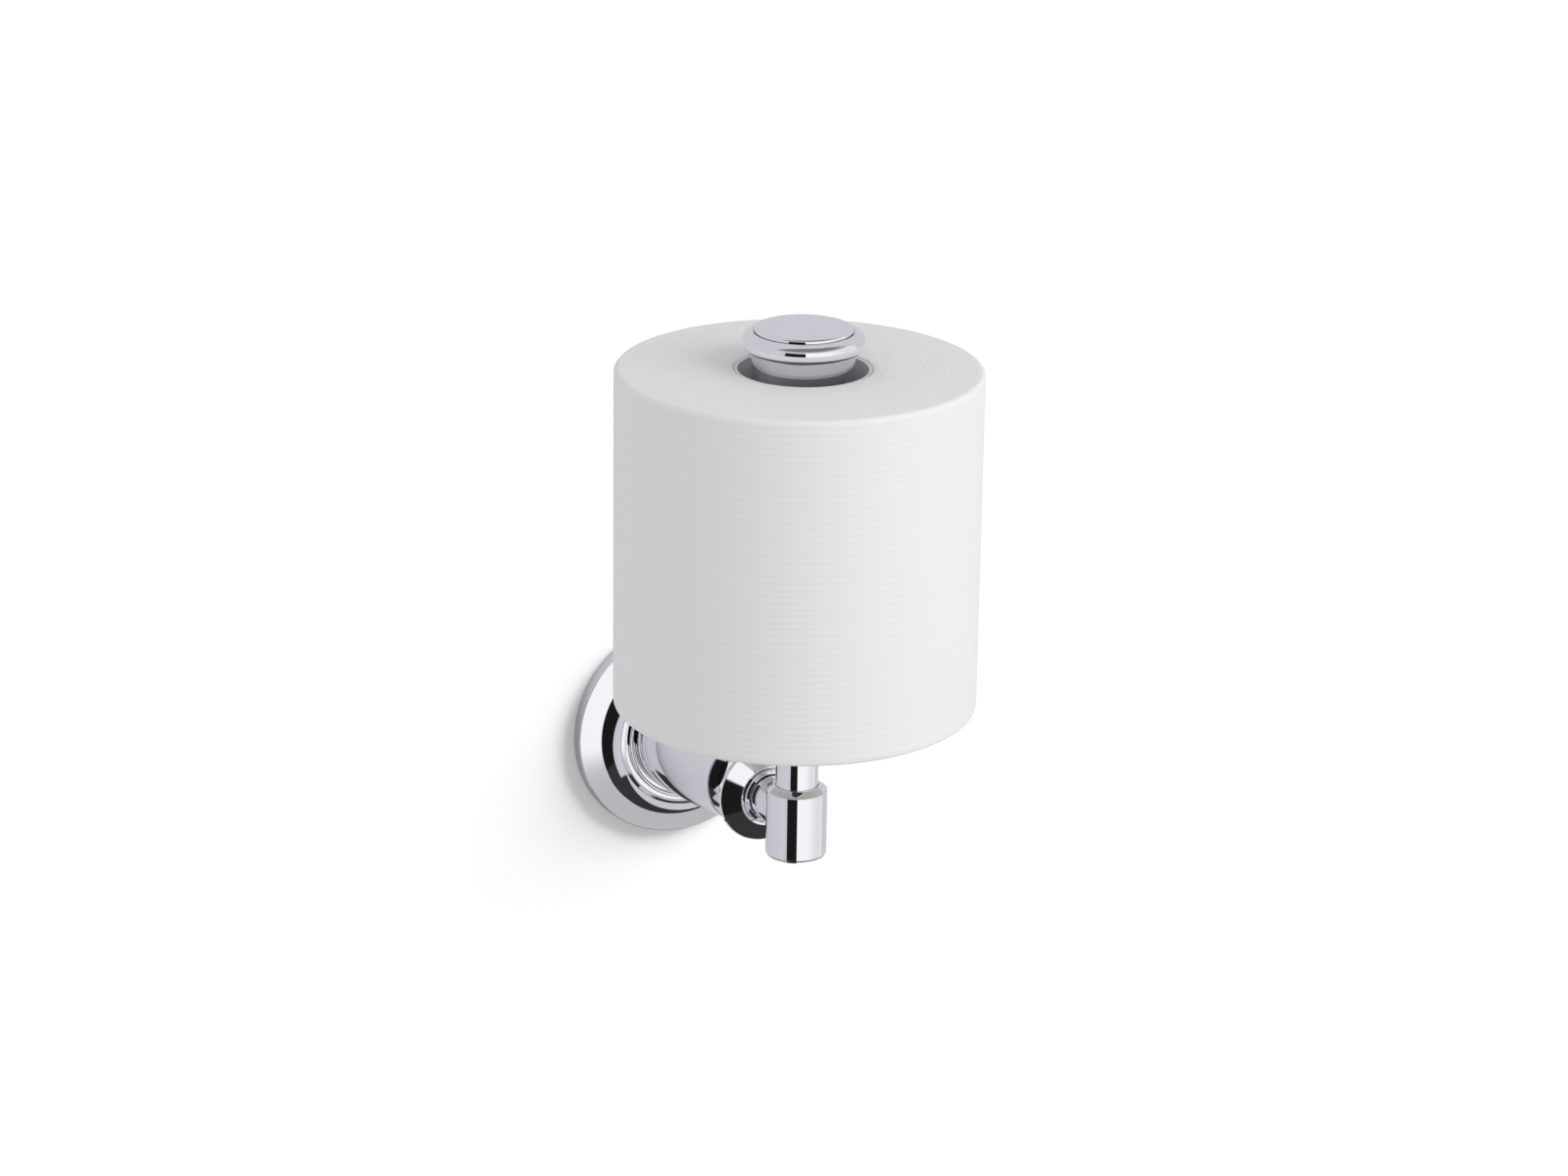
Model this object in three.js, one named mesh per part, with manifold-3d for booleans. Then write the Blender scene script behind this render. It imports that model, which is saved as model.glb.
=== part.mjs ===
// Wall-mounted vertical toilet paper holder, with a paper roll standing on its post.
// Millimetres, +Z up. The wall is the plane y = 0, the arm leaves it along -Y,
// and the origin is where the arm's axis meets the wall.

import * as THREE from "three";
import { mergeVertices } from "three/addons/utils/BufferGeometryUtils.js";
import Module from "manifold-3d";

const wasm = await Module();
wasm.setup();

// ---------------------------------------------------------------------------
// Driving sizes
// ---------------------------------------------------------------------------

const POST_REACH = 91; // wall to the post's axis
const POST_RADIUS = 6.8;
const SEAT_HEIGHT = 38.7; // arm axis to the top of the seat that carries the roll
const CORE_RADIUS = 20.3; // bore of the roll's core
const CORE_WALL = 0.8;
const ROLL_RADIUS = 57.15;
const ROLL_HEIGHT = 109.5;
const CAP_STANDOFF = 5.7; // top of the roll to the seam under the cap

// Clearances
const GAP = 0.3; // between pieces that are screwed or pressed together
const RUNNING = 0.5; // radial, between the post and the seat that turns on it
const CAP_CLEARANCE = 1.25; // radial, cap to core, so that the roll passes over the cap
const HUB_CLEARANCE = 0.9; // radial, seat hub to core

const OVERSHOOT = 1; // how far a cutting tool reaches past the surface it opens

const BRACKET = { radius: 30.2, thickness: 3.2, rounding: 0.6, screwOffset: 20, notchDepth: 2 };
const WALL_SCREW = { radius: 2, headRadius: 4.2, headHeight: 2.4, headRounding: 1.6, length: 31, point: 6 };
const CROSS_SLOT = { length: 4.6, width: 0.9, depth: 1.1 };

const FLANGE = {
  radius: 37.4,
  rimDepth: 4, // depth of the side of the rim
  rimDraft: 0.3, // how much smaller the rim is at its front edge
  rimRounding: 0.4,
  web: 2.3, // wall of the hub
  spigot: 3, // height of the ring that centres the barrel
  spigotRounding: 0.5,
  rimWeb: 1.2, // web behind the face, in webs
};
const HUB = {
  faceRise: 2.2, // from the rim's edge to the foot of the cove
  coveRise: 4.45,
  coveWidth: 5.2,
  coveSag: 0.4,
  landRise: 0.55, // from the cove's top to the inner edge of the land
  landWidth: 1.35, // cove's top to the groove of the bead ring
  landRounding: 0.25,
  grooveDepth: 0.8,
};
const BEAD = { width: 1.25, height: 1.3, outerGroove: 1.35, innerGroove: 0.75 };

const BARREL = {
  rootRadius: 20.25,
  endRadius: 15,
  lip: 1.35, // length of the rounded end
  lipDrop: 0.7,
  bulge: 0.4, // how far the side swells from a straight cone
  wall: 2.6,
  endWall: 4,
};
const FLARE = {
  neckRadius: 10.4,
  rimRadius: 16.4,
  length: 12.5, // neck's foot to the back of the rim
  rimWidth: 0.5,
  rimChamfer: 0.4,
  dish: 2.95, // height of the cone in front of the rim
  frontRadius: 10.1,
  spigotRadius: 8,
  spigotLength: 4.8,
  spigotRounding: 0.5,
};
const STUB = { radius: 7.4, length: 9.05, rounding: 0.3, spigotRadius: 5, spigotDepth: 5.5 };
const COLLAR = { width: 1.6, height: 0.75, outerRounding: 0.6, innerRounding: 0.2 };
const TIE = { radius: 3, endGap: 5, nutHeight: 2.8, nutWidth: 10, washerRadius: 6, washerHeight: 0.8 };

const SOCKET = {
  wall: 2.95, // socket's radius less the post's
  above: 9.4, // arm axis to the foot of the top chamfer
  below: 11.8,
  chamferRise: 1.7,
  chamferRim: 0.55, // width left round the post at the top
  postDepth: 4.8, // how deep the post sits in it
};
const BASE_CAP = { inset: 0.4, rim: 0.4, dome: 0.8, domeSag: 0.3, spigotRadius: 5.7, spigotWall: 1, spigotLength: 2 };
const M5 = {
  radius: 2.5,
  headRadius: 4.2,
  headHeight: 3,
  headRounding: 0.4,
  thread: 12,
  tip: 0.6,
  driver: 1.7,
  driverDepth: 0.6, // share of the head's height
  washer: 0.8,
  washerRim: 1, // how far the washer stands out past the head
};
const GRUB = { radius: 1.25, driver: 0.8, driverDepth: 1.4, point: 0.8, grip: 0.8 };

const SEAT = { overhang: 4.7, thickness: 3.1, rounding: 0.8, hubRounding: 0.9, hubHeight: 5.3, hubWall: 2, floor: 2.4 };
const SEAT_COLLAR = { wall: 4.2, height: 4.5, rounding: 0.5 };
const GLIDE = { width: 5, height: 1 };

const GUIDE = { inset: 3, wall: 1.6, top: 3, length: 30, footRounding: 0.4, topRounding: 0.2 };
const CAP = {
  underside: 2, // height of the curve under the ring
  side: 1,
  shoulderRise: 3, // height of the curve above the side
  shoulderWidth: 3.4,
  discRise: 1.25,
  discDepth: 1.5,
  discEdge: 0.95,
  screwHeadHeight: 2.2,
};

// Facets round a turned piece
const FINE = 40;
const MEDIUM = 28;
const COARSE = 12;
const HEXAGON = 6;
const ARC_STEPS = 2;

// ---------------------------------------------------------------------------
// Finishes
// ---------------------------------------------------------------------------

const chrome = { color: 0xc9cad2, roughness: 0.05, metalness: 1 };
const steel = { color: 0x9a9b9d, roughness: 0.35, metalness: 1 };
const brass = { color: 0xb89a55, roughness: 0.35, metalness: 1 };
const nylon = { color: 0xe6e4de, roughness: 0.55, metalness: 0 };
const card = { color: 0xa9a7a3, roughness: 0.9, metalness: 0 };
const tissue = { color: 0xe2e2e2, roughness: 0.95, metalness: 0 };

// ---------------------------------------------------------------------------
// Geometry helpers
// ---------------------------------------------------------------------------

// A corner of an outline as an arc, shortened where its neighbours leave too little room.
function roundedCorner(before, corner, after, radius) {
  const back = before.clone().sub(corner);
  const ahead = after.clone().sub(corner);
  const half = back.angleTo(ahead) / 2;
  const room = 0.49 * Math.min(back.length(), ahead.length());
  const reach = Math.min(radius / Math.tan(half), room);
  back.normalize();
  ahead.normalize();
  const centre = back.clone().add(ahead).normalize().multiplyScalar(reach / Math.cos(half)).add(corner);
  const start = back.multiplyScalar(reach).add(corner).sub(centre);
  const end = ahead.multiplyScalar(reach).add(corner).sub(centre);
  const sweep = Math.sign(start.cross(end)) * start.angleTo(end);
  const points = [];
  for (let i = 0; i <= ARC_STEPS; i++) {
    const spoke = start.clone().rotateAround(new THREE.Vector2(), (sweep * i) / ARC_STEPS);
    points.push(spoke.add(centre));
  }
  return points;
}

// Outline points from corners [radius, height] or [radius, height, rounding], counter-clockwise.
// An outline that starts off the axis is a ring and closes on itself.
function outline(corners) {
  const flat = corners.map(([r, h]) => new THREE.Vector2(r, h));
  const ring = corners[0][0] > 0;
  const points = flat.flatMap((corner, i) => {
    const rounding = corners[i][2];
    if (!rounding) return [corner];
    const before = flat[(i + flat.length - 1) % flat.length];
    const after = flat[(i + 1) % flat.length];
    return roundedCorner(before, corner, after, rounding);
  });
  if (ring) points.push(points[0].clone());
  return points;
}

// A solid turned about Y.
function turned(corners, segments = MEDIUM) {
  return new THREE.LatheGeometry(outline(corners), segments);
}

// A plain bar along Y between two heights.
function bar(radius, from, to, segments = COARSE) {
  const geometry = new THREE.CylinderGeometry(radius, radius, to - from, segments);
  return geometry.translate(0, (from + to) / 2, 0);
}

// A bar or turned piece laid along Z instead of Y.
function alongZ(geometry) {
  return geometry.rotateX(Math.PI / 2);
}

// Points that swell sideways from the straight line between two outline points.
function swell(from, to, sag, steps) {
  const start = new THREE.Vector2(...from);
  const run = new THREE.Vector2(...to).sub(start);
  const side = new THREE.Vector2(run.y, -run.x).normalize();
  const points = [];
  for (let i = 0; i <= steps; i++) {
    const t = i / steps;
    const point = start.clone().addScaledVector(run, t);
    point.addScaledVector(side, 4 * sag * t * (1 - t));
    points.push([point.x, point.y]);
  }
  return points;
}

// A quarter of an ellipse between two outline points, leaving the first one along the axis.
function quarter(from, to, steps) {
  const points = [];
  for (let i = 0; i <= steps; i++) {
    const angle = ((Math.PI / 2) * i) / steps;
    const r = from[0] + (to[0] - from[0]) * (1 - Math.cos(angle));
    const h = from[1] + (to[1] - from[1]) * Math.sin(angle);
    points.push([r, h]);
  }
  return points;
}

function solidOf(geometry) {
  const bare = geometry.clone();
  bare.deleteAttribute("normal");
  bare.deleteAttribute("uv");
  const merged = mergeVertices(bare);
  const vertProperties = merged.getAttribute("position").array;
  const triVerts = new Uint32Array(merged.index.array);
  return new wasm.Manifold(new wasm.Mesh({ numProp: 3, vertProperties, triVerts }));
}

function geometryOf(solid) {
  const { vertProperties, triVerts } = solid.getMesh();
  const geometry = new THREE.BufferGeometry();
  geometry.setAttribute("position", new THREE.BufferAttribute(vertProperties, 3));
  geometry.setIndex(new THREE.BufferAttribute(triVerts, 1));
  return geometry;
}

function cut(geometry, ...tools) {
  let solid = solidOf(geometry);
  for (const tool of tools) solid = solid.subtract(solidOf(tool));
  return geometryOf(solid);
}

function join(geometry, ...others) {
  let solid = solidOf(geometry);
  for (const other of others) solid = solid.add(solidOf(other));
  return geometryOf(solid);
}

// ---------------------------------------------------------------------------
// Scene graph: the arm's group turns +Y to the room, the post's group turns +Y upwards
// ---------------------------------------------------------------------------

const holder = new THREE.Group();

const arm = new THREE.Group();
arm.rotation.x = Math.PI;
holder.add(arm);

const upright = new THREE.Group();
upright.position.y = -POST_REACH;
upright.rotation.x = Math.PI / 2;
holder.add(upright);

function add(group, name, geometry, finish) {
  const mesh = new THREE.Mesh(geometry, new THREE.MeshStandardMaterial(finish));
  mesh.name = name;
  group.add(mesh);
  return mesh;
}

// ---------------------------------------------------------------------------
// Stations along the arm, measured from the wall
// ---------------------------------------------------------------------------

const coveFoot = FLANGE.rimDepth + HUB.faceRise;
const coveTop = coveFoot + HUB.coveRise;
const hubTop = coveTop + HUB.landRise;
const hubFloor = hubTop - HUB.grooveDepth;
const barrelRoot = hubFloor + GAP;
const socketRadius = POST_RADIUS + SOCKET.wall;
const stubStart = POST_REACH - socketRadius - STUB.length;
const flareFront = stubStart - GAP;
const flareBack = flareFront - FLARE.dish - FLARE.rimWidth;
const flareFoot = flareBack - FLARE.length;
const barrelEnd = flareFoot - GAP;

// Radii about the arm's axis
const beadInner = BARREL.rootRadius + BEAD.innerGroove;
const beadOuter = beadInner + BEAD.width;
const beadSeat = beadOuter + BEAD.outerGroove;
const coveInner = beadSeat + HUB.landWidth;
const coveOuter = coveInner + HUB.coveWidth;
const cavityRadius = BRACKET.radius + 2 * GAP;
const barrelBore = BARREL.rootRadius - BARREL.wall;
const tieBore = TIE.radius + GAP;

// ---------------------------------------------------------------------------
// Wall bracket, its screws and the flange that hides them
// ---------------------------------------------------------------------------

const grubHeight = FLANGE.rimDepth / 2;

function wallBracket() {
  const plate = turned([
    [0, 0],
    [BRACKET.radius, 0],
    [BRACKET.radius, BRACKET.thickness, BRACKET.rounding],
    [0, BRACKET.thickness],
  ]);
  const tools = [-1, 1].map((side) =>
    bar(WALL_SCREW.radius + GAP, -OVERSHOOT, BRACKET.thickness + OVERSHOOT).translate(side * BRACKET.screwOffset, 0, 0),
  );
  const notchFoot = BRACKET.radius - BRACKET.notchDepth;
  const notch = alongZ(bar(GRUB.radius + GAP, notchFoot, BRACKET.radius + OVERSHOOT));
  return cut(plate, ...tools, notch.translate(0, grubHeight, 0));
}

function wallScrew() {
  const underHead = BRACKET.thickness + GAP;
  const top = underHead + WALL_SCREW.headHeight;
  const tip = underHead - WALL_SCREW.length;
  const screw = turned(
    [
      [0, tip],
      [WALL_SCREW.radius, tip + WALL_SCREW.point],
      [WALL_SCREW.radius, underHead],
      [WALL_SCREW.headRadius, underHead],
      [WALL_SCREW.headRadius, top, WALL_SCREW.headRounding],
      [0, top],
    ],
    COARSE,
  );
  const slots = [0, Math.PI / 2].map((turn) => {
    const slot = new THREE.BoxGeometry(CROSS_SLOT.length, 2 * CROSS_SLOT.depth, CROSS_SLOT.width);
    return slot.rotateY(turn).translate(0, top, 0);
  });
  return cut(screw, ...slots);
}

function wallFlange() {
  const web = FLANGE.web;
  const webBack = hubFloor - web;
  const spigotRadius = barrelBore - GAP;
  const cove = swell([coveOuter, coveFoot], [coveInner, coveTop], -HUB.coveSag, 5);
  const shell = turned(
    [
      [cavityRadius, 0],
      [FLANGE.radius, 0, FLANGE.rimRounding],
      [FLANGE.radius - FLANGE.rimDraft, FLANGE.rimDepth, FLANGE.rimRounding],
      ...cove,
      [beadSeat, hubTop, HUB.landRounding],
      [beadSeat, hubFloor],
      [spigotRadius, hubFloor],
      [spigotRadius, hubFloor + FLANGE.spigot, FLANGE.spigotRounding],
      [tieBore, hubFloor + FLANGE.spigot],
      [tieBore, webBack],
      [coveInner - 2 * web, webBack],
      [coveInner - web, webBack - web / 2],
      [coveOuter - web, coveFoot - web],
      [cavityRadius, coveFoot - FLANGE.rimWeb * web],
    ],
    FINE,
  );
  const hole = alongZ(bar(GRUB.radius + GAP, BRACKET.radius, FLANGE.radius + OVERSHOOT));
  return cut(shell, hole.translate(0, grubHeight, 0));
}

// A headless screw along Y with a hexagon socket in its top end.
function grubScrew(length) {
  const screw = turned(
    [
      [0, 0],
      [GRUB.radius - GRUB.point / 2, 0],
      [GRUB.radius, GRUB.point],
      [GRUB.radius, length],
      [0, length],
    ],
    COARSE,
  );
  return cut(screw, bar(GRUB.driver, length - GRUB.driverDepth, length + OVERSHOOT, HEXAGON));
}

function beadRing() {
  const foot = hubFloor + GAP;
  return turned([
    [beadInner, foot],
    [beadOuter, foot],
    [beadOuter, foot + BEAD.height, BEAD.width / 2],
    [beadInner, foot + BEAD.height, BEAD.width / 2],
  ]);
}

const grubLength = FLANGE.radius - BRACKET.radius + GRUB.grip;
const grubStart = FLANGE.radius - FLANGE.rimDraft - grubLength - GAP;

add(arm, "wall_bracket", wallBracket(), steel);
for (const [name, side] of [["wall_screw_left", -1], ["wall_screw_right", 1]]) {
  add(arm, name, wallScrew(), steel).position.x = side * BRACKET.screwOffset;
}
add(arm, "wall_flange", wallFlange(), chrome);
const flangeGrub = add(arm, "flange_set_screw", alongZ(grubScrew(grubLength)), steel);
flangeGrub.position.set(0, grubHeight, grubStart);
add(arm, "bead_ring", beadRing(), chrome);

// ---------------------------------------------------------------------------
// Arm: barrel, flared cup, collar and stub, drawn together by a threaded rod
// ---------------------------------------------------------------------------

function armBarrel() {
  const lipStart = barrelEnd - BARREL.lip;
  const side = swell([BARREL.rootRadius, barrelRoot], [BARREL.endRadius, lipStart], BARREL.bulge, 6);
  const lip = quarter([BARREL.endRadius, lipStart], [BARREL.endRadius - BARREL.lipDrop, barrelEnd], 4);
  const spigotBore = FLARE.spigotRadius + GAP;
  return turned([
    [barrelBore, barrelRoot],
    ...side,
    ...lip.slice(1),
    [spigotBore, barrelEnd],
    [spigotBore, barrelEnd - BARREL.endWall],
    [BARREL.endRadius - BARREL.wall, barrelEnd - BARREL.endWall],
    [barrelBore, hubFloor + FLANGE.spigot + 2 * GAP],
  ]);
}

function flareCup() {
  const neck = quarter([FLARE.neckRadius, flareFoot], [FLARE.rimRadius, flareBack], 7);
  return turned([
    [tieBore, flareFoot - FLARE.spigotLength],
    [FLARE.spigotRadius, flareFoot - FLARE.spigotLength, FLARE.spigotRounding],
    [FLARE.spigotRadius, flareFoot],
    ...neck,
    [FLARE.rimRadius - FLARE.rimChamfer, flareBack + FLARE.rimWidth],
    [FLARE.frontRadius, flareFront],
    [tieBore, flareFront],
  ]);
}

function stubCollar() {
  const inner = STUB.radius + GAP;
  return turned([
    [inner, stubStart],
    [inner + COLLAR.width, stubStart],
    [inner + COLLAR.width, stubStart + COLLAR.height, COLLAR.outerRounding],
    [inner, stubStart + COLLAR.height, COLLAR.innerRounding],
  ]);
}

const spigotEnd = POST_REACH - socketRadius + STUB.spigotDepth;
const tieEnd = spigotEnd - TIE.endGap;

// The stub's end is shaped to the socket, and its spigot goes into the socket's side.
function stubArm() {
  const stub = turned([
    [0, stubStart],
    [STUB.radius, stubStart, STUB.rounding],
    [STUB.radius, POST_REACH],
    [0, POST_REACH],
  ]);
  const saddle = alongZ(bar(socketRadius + GAP, -2 * STUB.radius, 2 * STUB.radius, FINE));
  const spigot = bar(STUB.spigotRadius, stubStart + 2, spigotEnd);
  const thread = bar(tieBore, stubStart - OVERSHOOT, tieEnd + GAP);
  return cut(join(cut(stub, saddle.translate(0, POST_REACH, 0)), spigot), thread);
}

const washerTop = hubFloor - FLANGE.web - GAP;
const nutTop = washerTop - TIE.washerHeight - GAP;
const nutFoot = nutTop - TIE.nutHeight;

function tieWasher() {
  return turned(
    [
      [tieBore, washerTop - TIE.washerHeight],
      [TIE.washerRadius, washerTop - TIE.washerHeight],
      [TIE.washerRadius, washerTop],
      [tieBore, washerTop],
    ],
    COARSE,
  );
}

function tieNut() {
  const cornerRadius = TIE.nutWidth / Math.sqrt(3);
  return cut(bar(cornerRadius, nutFoot, nutTop, HEXAGON), bar(tieBore, nutFoot - OVERSHOOT, nutTop + OVERSHOOT));
}

add(arm, "arm_barrel", armBarrel(), chrome);
add(arm, "flare_cup", flareCup(), chrome);
add(arm, "stub_collar", stubCollar(), chrome);
add(arm, "stub_arm", stubArm(), chrome);
add(arm, "tie_rod", bar(TIE.radius, nutFoot, tieEnd), steel);
add(arm, "tie_washer", tieWasher(), steel);
add(arm, "tie_nut", tieNut(), brass);

// ---------------------------------------------------------------------------
// Heights on the post, measured from the arm's axis
// ---------------------------------------------------------------------------

const socketTop = SOCKET.above + SOCKET.chamferRise;
const postFoot = socketTop - SOCKET.postDepth;
const rollFoot = SEAT_HEIGHT + GAP;
const rollTop = rollFoot + ROLL_HEIGHT;
const capSeam = rollTop + CAP_STANDOFF;
const guideTop = capSeam - GAP;
const postTop = guideTop - GUIDE.top - GAP;
const capSide = capSeam + CAP.underside;
const capShoulder = capSide + CAP.side + CAP.shoulderRise;
const discFoot = capShoulder - CAP.discDepth + GAP;

// Radii about the post's axis
const postBore = POST_RADIUS + GAP;
const screwBore = M5.radius + GAP;
const capRadius = CORE_RADIUS - CAP_CLEARANCE;
const guideRadius = capRadius - GUIDE.inset;
const discSeat = capRadius - CAP.shoulderWidth;

// ---------------------------------------------------------------------------
// Socket at the arm's end, its domed base and the screw that pulls the post down
// ---------------------------------------------------------------------------

const counterboreTop = -(STUB.spigotRadius + GAP + 1.2);

function postSocket() {
  const counterbore = BASE_CAP.spigotRadius + GAP;
  const body = turned([
    [counterbore, -SOCKET.below],
    [socketRadius, -SOCKET.below, 0.3],
    [socketRadius, SOCKET.above],
    [postBore + SOCKET.chamferRim, socketTop],
    [postBore, socketTop],
    [postBore, postFoot - GAP],
    [screwBore, postFoot - GAP],
    [screwBore, counterboreTop],
    [counterbore, counterboreTop],
  ]);
  const inside = socketRadius - STUB.spigotDepth - GAP;
  return cut(body, alongZ(bar(STUB.spigotRadius + GAP, -2 * socketRadius, -inside)));
}

function socketBase() {
  const top = -SOCKET.below - GAP;
  const radius = socketRadius - BASE_CAP.inset;
  const inner = BASE_CAP.spigotRadius - BASE_CAP.spigotWall;
  const edge = top - BASE_CAP.rim;
  return turned([
    [0, edge - BASE_CAP.dome],
    ...swell([0, edge - BASE_CAP.dome], [radius, edge], BASE_CAP.domeSag, 4).slice(1),
    [radius, top],
    [BASE_CAP.spigotRadius, top],
    [BASE_CAP.spigotRadius, top + BASE_CAP.spigotLength],
    [inner, top + BASE_CAP.spigotLength],
    [inner, top],
    [0, top],
  ]);
}

// A socket head screw along Y, thread upwards, with its head's bottom at zero.
function socketHeadScrew(headHeight, shank) {
  const screw = turned(
    [
      [0, 0],
      [M5.headRadius, 0, M5.headRounding],
      [M5.headRadius, headHeight],
      [M5.radius, headHeight],
      [M5.radius, headHeight + shank - M5.tip],
      [M5.radius - M5.tip, headHeight + shank],
      [0, headHeight + shank],
    ],
    COARSE,
  );
  return cut(screw, bar(M5.driver, -OVERSHOOT, M5.driverDepth * headHeight, HEXAGON));
}

const postWasherFoot = counterboreTop - GAP - M5.washer;
const postScrewFoot = postWasherFoot - GAP - M5.headHeight;

function postWasher() {
  return turned(
    [
      [screwBore, postWasherFoot],
      [M5.headRadius + M5.washerRim, postWasherFoot],
      [M5.headRadius + M5.washerRim, postWasherFoot + M5.washer],
      [screwBore, postWasherFoot + M5.washer],
    ],
    COARSE,
  );
}

// The post is a solid bar with a tapped hole in each end.
function post() {
  const body = turned(
    [
      [0, postFoot],
      [POST_RADIUS, postFoot, 0.4],
      [POST_RADIUS, postTop, 0.4],
      [0, postTop],
    ],
    MEDIUM,
  );
  const lowerHole = bar(screwBore, postFoot - OVERSHOOT, postFoot + M5.thread + GAP);
  const upperHole = bar(screwBore, postTop - M5.thread - GAP, postTop + OVERSHOOT);
  return cut(body, lowerHole, upperHole);
}

const postScrewShank = postFoot + M5.thread - (postScrewFoot + M5.headHeight);

add(upright, "post_socket", postSocket(), chrome);
add(upright, "socket_base", socketBase(), chrome);
add(upright, "post_washer", postWasher(), steel);
const postScrew = socketHeadScrew(M5.headHeight, postScrewShank);
add(upright, "post_screw", postScrew, steel).position.y = postScrewFoot;
add(upright, "post", post(), chrome);

// ---------------------------------------------------------------------------
// Seat that carries the roll and turns with it, on a collar clamped to the post
// ---------------------------------------------------------------------------

const seatFoot = SEAT_HEIGHT - SEAT.thickness;
const glideFoot = seatFoot - GAP - GLIDE.height;
const collarFoot = glideFoot - GAP - SEAT_COLLAR.height;
const collarRadius = postBore + SEAT_COLLAR.wall;
const collarMiddle = collarFoot + SEAT_COLLAR.height / 2;
const seatBore = POST_RADIUS + RUNNING;

function seatCollar() {
  const ring = turned([
    [postBore, collarFoot],
    [collarRadius, collarFoot, SEAT_COLLAR.rounding],
    [collarRadius, collarFoot + SEAT_COLLAR.height, SEAT_COLLAR.rounding],
    [postBore, collarFoot + SEAT_COLLAR.height],
  ]);
  const hole = alongZ(bar(GRUB.radius + GAP, -collarRadius - OVERSHOOT, -POST_RADIUS));
  return cut(ring, hole.translate(0, collarMiddle, 0));
}

function glideWasher() {
  return turned([
    [postBore, glideFoot],
    [postBore + GLIDE.width, glideFoot],
    [postBore + GLIDE.width, glideFoot + GLIDE.height],
    [postBore, glideFoot + GLIDE.height],
  ]);
}

// A plate under the roll, with a hub that centres the core and a sleeve that turns on the post.
function rollSeat() {
  const hubRadius = CORE_RADIUS - HUB_CLEARANCE;
  const plateRadius = CORE_RADIUS + SEAT.overhang;
  const hubTopHeight = SEAT_HEIGHT + SEAT.hubHeight;
  const floor = seatFoot + SEAT.floor;
  return turned([
    [seatBore, seatFoot],
    [plateRadius, seatFoot, SEAT.rounding],
    [plateRadius, SEAT_HEIGHT, SEAT.rounding],
    [hubRadius, SEAT_HEIGHT],
    [hubRadius, hubTopHeight, SEAT.hubRounding],
    [hubRadius - SEAT.hubWall, hubTopHeight],
    [hubRadius - SEAT.hubWall, floor],
    [seatBore + SEAT.hubWall, floor],
    [seatBore + SEAT.hubWall, hubTopHeight],
    [seatBore, hubTopHeight],
  ]);
}

const collarGrubLength = SEAT_COLLAR.wall - GAP;

add(upright, "seat_collar", seatCollar(), chrome);
const collarGrub = add(upright, "collar_set_screw", alongZ(grubScrew(collarGrubLength)), steel);
collarGrub.rotation.y = Math.PI;
collarGrub.position.set(0, collarMiddle, -postBore);
add(upright, "glide_washer", glideWasher(), nylon);
add(upright, "roll_seat", rollSeat(), nylon);

// ---------------------------------------------------------------------------
// Core guide and cap on top of the post
// ---------------------------------------------------------------------------

function coreGuide() {
  return turned([
    [screwBore, guideTop - GUIDE.top],
    [guideRadius - GUIDE.wall, guideTop - GUIDE.top],
    [guideRadius - GUIDE.wall, guideTop - GUIDE.length],
    [guideRadius, guideTop - GUIDE.length, GUIDE.footRounding],
    [guideRadius, guideTop, GUIDE.topRounding],
    [screwBore, guideTop],
  ]);
}

const capScrewHead = M5.headRadius + 2 * GAP;
const capFloor = discFoot - GAP;
const capScrewFoot = capFloor - CAP.screwHeadHeight - GAP;

function capRing() {
  const underside = quarter([capRadius, -capSide], [guideRadius, -capSeam], 5).map(([r, h]) => [r, -h]);
  const shoulder = quarter([capRadius, capSide + CAP.side], [discSeat, capShoulder], 7);
  return turned([
    [screwBore, capSeam],
    ...underside.reverse(),
    ...shoulder,
    [discSeat, capFloor],
    [capScrewHead, capFloor],
    [capScrewHead, capScrewFoot - GAP],
    [screwBore, capScrewFoot - GAP],
  ]);
}

function capDisc() {
  const top = capShoulder + CAP.discRise;
  return turned([
    [0, discFoot],
    [discSeat - GAP, discFoot],
    [discSeat - GAP, top, CAP.discEdge],
    [0, top],
  ]);
}

const capScrewShank = capScrewFoot - (postTop - M5.thread);

add(upright, "core_guide", coreGuide(), chrome);
add(upright, "cap_ring", capRing(), chrome);
const capScrew = add(upright, "cap_screw", socketHeadScrew(CAP.screwHeadHeight, capScrewShank), steel);
capScrew.rotation.x = Math.PI;
capScrew.position.y = capScrewFoot + CAP.screwHeadHeight;
add(upright, "cap_disc", capDisc(), chrome);

// ---------------------------------------------------------------------------
// Paper roll on its core
// ---------------------------------------------------------------------------

function tube(inner, outer, foot, top, rounding) {
  return turned(
    [
      [inner, foot],
      [outer, foot, rounding],
      [outer, top, rounding],
      [inner, top],
    ],
    FINE,
  );
}

const coreOuter = CORE_RADIUS + CORE_WALL;

add(upright, "core_tube", tube(CORE_RADIUS, coreOuter, rollFoot, rollTop - GAP), card);
add(upright, "paper_roll", tube(coreOuter + GAP, ROLL_RADIUS, rollFoot, rollTop, 1.6), tissue);

export default holder;
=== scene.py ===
"""Looks of a wall-mounted toilet paper holder with a paper roll on its upright post."""
import logging
import math
from dataclasses import dataclass
from enum import Enum
from typing import Any, Callable, Iterable, Mapping, Optional, Sequence, Union

import bmesh
import bpy
from mathutils import Matrix, Vector


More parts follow.
